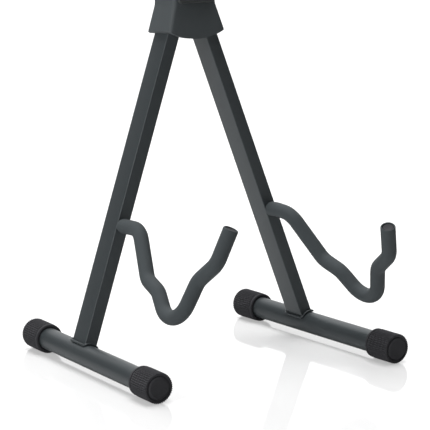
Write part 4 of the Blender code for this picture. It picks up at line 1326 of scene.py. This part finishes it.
class GUITARSTAND_OT_rest_pad(StandOperator, bpy.types.Operator):
    """Makes the grooved rubber pad on the housing's front"""
    bl_idname = "guitar_stand.rest_pad"
    bl_label = "Rest pad"

    def build(self, context, sizes):
        place = housing_frame()
        back = -HOUSING_FRONT - TOUCH
        half = HEAD_HALF - PAD_EDGE
        low = -PAD_BELOW
        high = HEAD_ABOVE - HEAD_ROUND
        front = back - PAD_THICK
        pad = slab(rectangle(half, (high - low) / 2, (low + high) / 2), back, front, 0.0050, 8)
        soften(pad, 0.0014, 5, 60.0, lambda edge: all(v.co.y < front + MERGE for v in edge.verts))
        soften(pad, 0.0004, 2, 60.0, lambda edge: all(v.co.y > back - MERGE for v in edge.verts))
        cuts = []
        reach = 0.0010
        for index in range(sizes.pad_grooves):
            z = low + (high - low) * (index + 1) / (sizes.pad_grooves + 1)
            groove = bmesh.new()
            bmesh.ops.create_cone(groove, cap_ends=True, segments=20, radius1=reach, radius2=reach,
                                  depth=2 * half - 0.009)
            bmesh.ops.rotate(groove, verts=groove.verts, matrix=Matrix.Rotation(math.pi / 2, 3, "Y"))
            bmesh.ops.translate(groove, verts=groove.verts, vec=(0.0, front - 0.0003, z))
            cuts.append(("DIFFERENCE", groove))
        cuts += pivot_cuts(place, BOLT_HEAD_RADIUS + WASHER_SPACE,
                           back - BOLT_HEAD_HEIGHT - WASHER_SPACE, 0.0)
        finish_piece("grooved_pad", carved(pad, cuts), place, "head", "pad_rubber", ("rest_pad",))


class GUITARSTAND_OT_cover_screws(StandOperator, bpy.types.Operator):
    """Makes the cross-head screws of the rear cover"""
    bl_idname = "guitar_stand.cover_screws"
    bl_label = "Cover screws"

    def build(self, context, sizes):
        head = COVER_OUT + TOUCH
        top = head + SCREW_HEAD_HEIGHT
        end = COVER_OUT - SCREW_DEPTH
        rim = SCREW_HEAD_RADIUS
        for index, ((x, z), turn) in enumerate(zip(SCREW_PLACES, SCREW_TURNS), 1):
            profile = [(0.0, top), (rim - 0.0015, top - 0.00005), (rim - 0.0007, top - 0.0003),
                       (rim - 0.0002, top - 0.0008), (rim, top - 0.0013), (rim, head), (SCREW_RADIUS, head)]
            profile += [(SCREW_RADIUS, along) for along in spaced(head - 0.0005, end + 0.0014, 0.0001)]
            profile += [(SCREW_RADIUS - 0.0003, end + 0.0008), (0.0, end)]
            shank = turned(profile, 32)
            cut_thread(shank, end + 0.0013, head - 0.0004, SCREW_PITCH, 0.0003)
            cuts = [("DIFFERENCE", slab(rectangle(*half), top - 0.0011, top + 0.001))
                    for half in ((0.0014, 0.0003), (0.0003, 0.0014))]
            turn = Matrix.Rotation(math.radians(turn), 4, "Y")
            spot = housing_frame() @ Matrix.Translation((x, 0.0, z)) @ turn
            finish_piece(f"cross_screw_{index}", carved(shank, cuts), spot, "head", "black_zinc",
                         (f"cover_screw_{index}",), math.radians(30))


OPERATORS = (
    GUITARSTAND_OT_stage,
    GUITARSTAND_OT_legs,
    GUITARSTAND_OT_feet,
    GUITARSTAND_OT_welds,
    GUITARSTAND_OT_foot_caps,
    GUITARSTAND_OT_cradle_arms,
    GUITARSTAND_OT_arm_hardware,
    GUITARSTAND_OT_pivot_hardware,
    GUITARSTAND_OT_housing,
    GUITARSTAND_OT_rest_pad,
    GUITARSTAND_OT_cover_screws,
)


class GUITARSTAND_PT_panel(bpy.types.Panel):
    """Sizes, finishes and pieces of the guitar stand"""
    bl_idname = "GUITARSTAND_PT_panel"
    bl_label = "Guitar stand"
    bl_space_type = "VIEW_3D"
    bl_region_type = "UI"
    bl_category = "Guitar stand"

    def draw(self, context):
        column = self.layout.column()
        for group in ("guitar_stand_sizes", "guitar_stand_finish", "guitar_stand_stage"):
            settings = getattr(context.scene, group)
            for key in settings.__annotations__:
                column.prop(settings, key)
        for operator in OPERATORS:
            column.operator(operator.bl_idname)


SETTINGS = (GuitarStandSizes, GuitarStandFinish, GuitarStandStage)


def register():
    for cls in (*SETTINGS, *OPERATORS, GUITARSTAND_PT_panel):
        bpy.utils.register_class(cls)
    bpy.types.Scene.guitar_stand_sizes = PointerProperty(type=GuitarStandSizes)
    bpy.types.Scene.guitar_stand_finish = PointerProperty(type=GuitarStandFinish)
    bpy.types.Scene.guitar_stand_stage = PointerProperty(type=GuitarStandStage)


def unregister():
    del bpy.types.Scene.guitar_stand_stage
    del bpy.types.Scene.guitar_stand_finish
    del bpy.types.Scene.guitar_stand_sizes
    for cls in reversed((*SETTINGS, *OPERATORS, GUITARSTAND_PT_panel)):
        bpy.utils.unregister_class(cls)


def main():
    register()
    for operator in OPERATORS:
        getattr(bpy.ops.guitar_stand, operator.bl_idname.split(".")[1])()


if __name__ == "__main__":
    main()
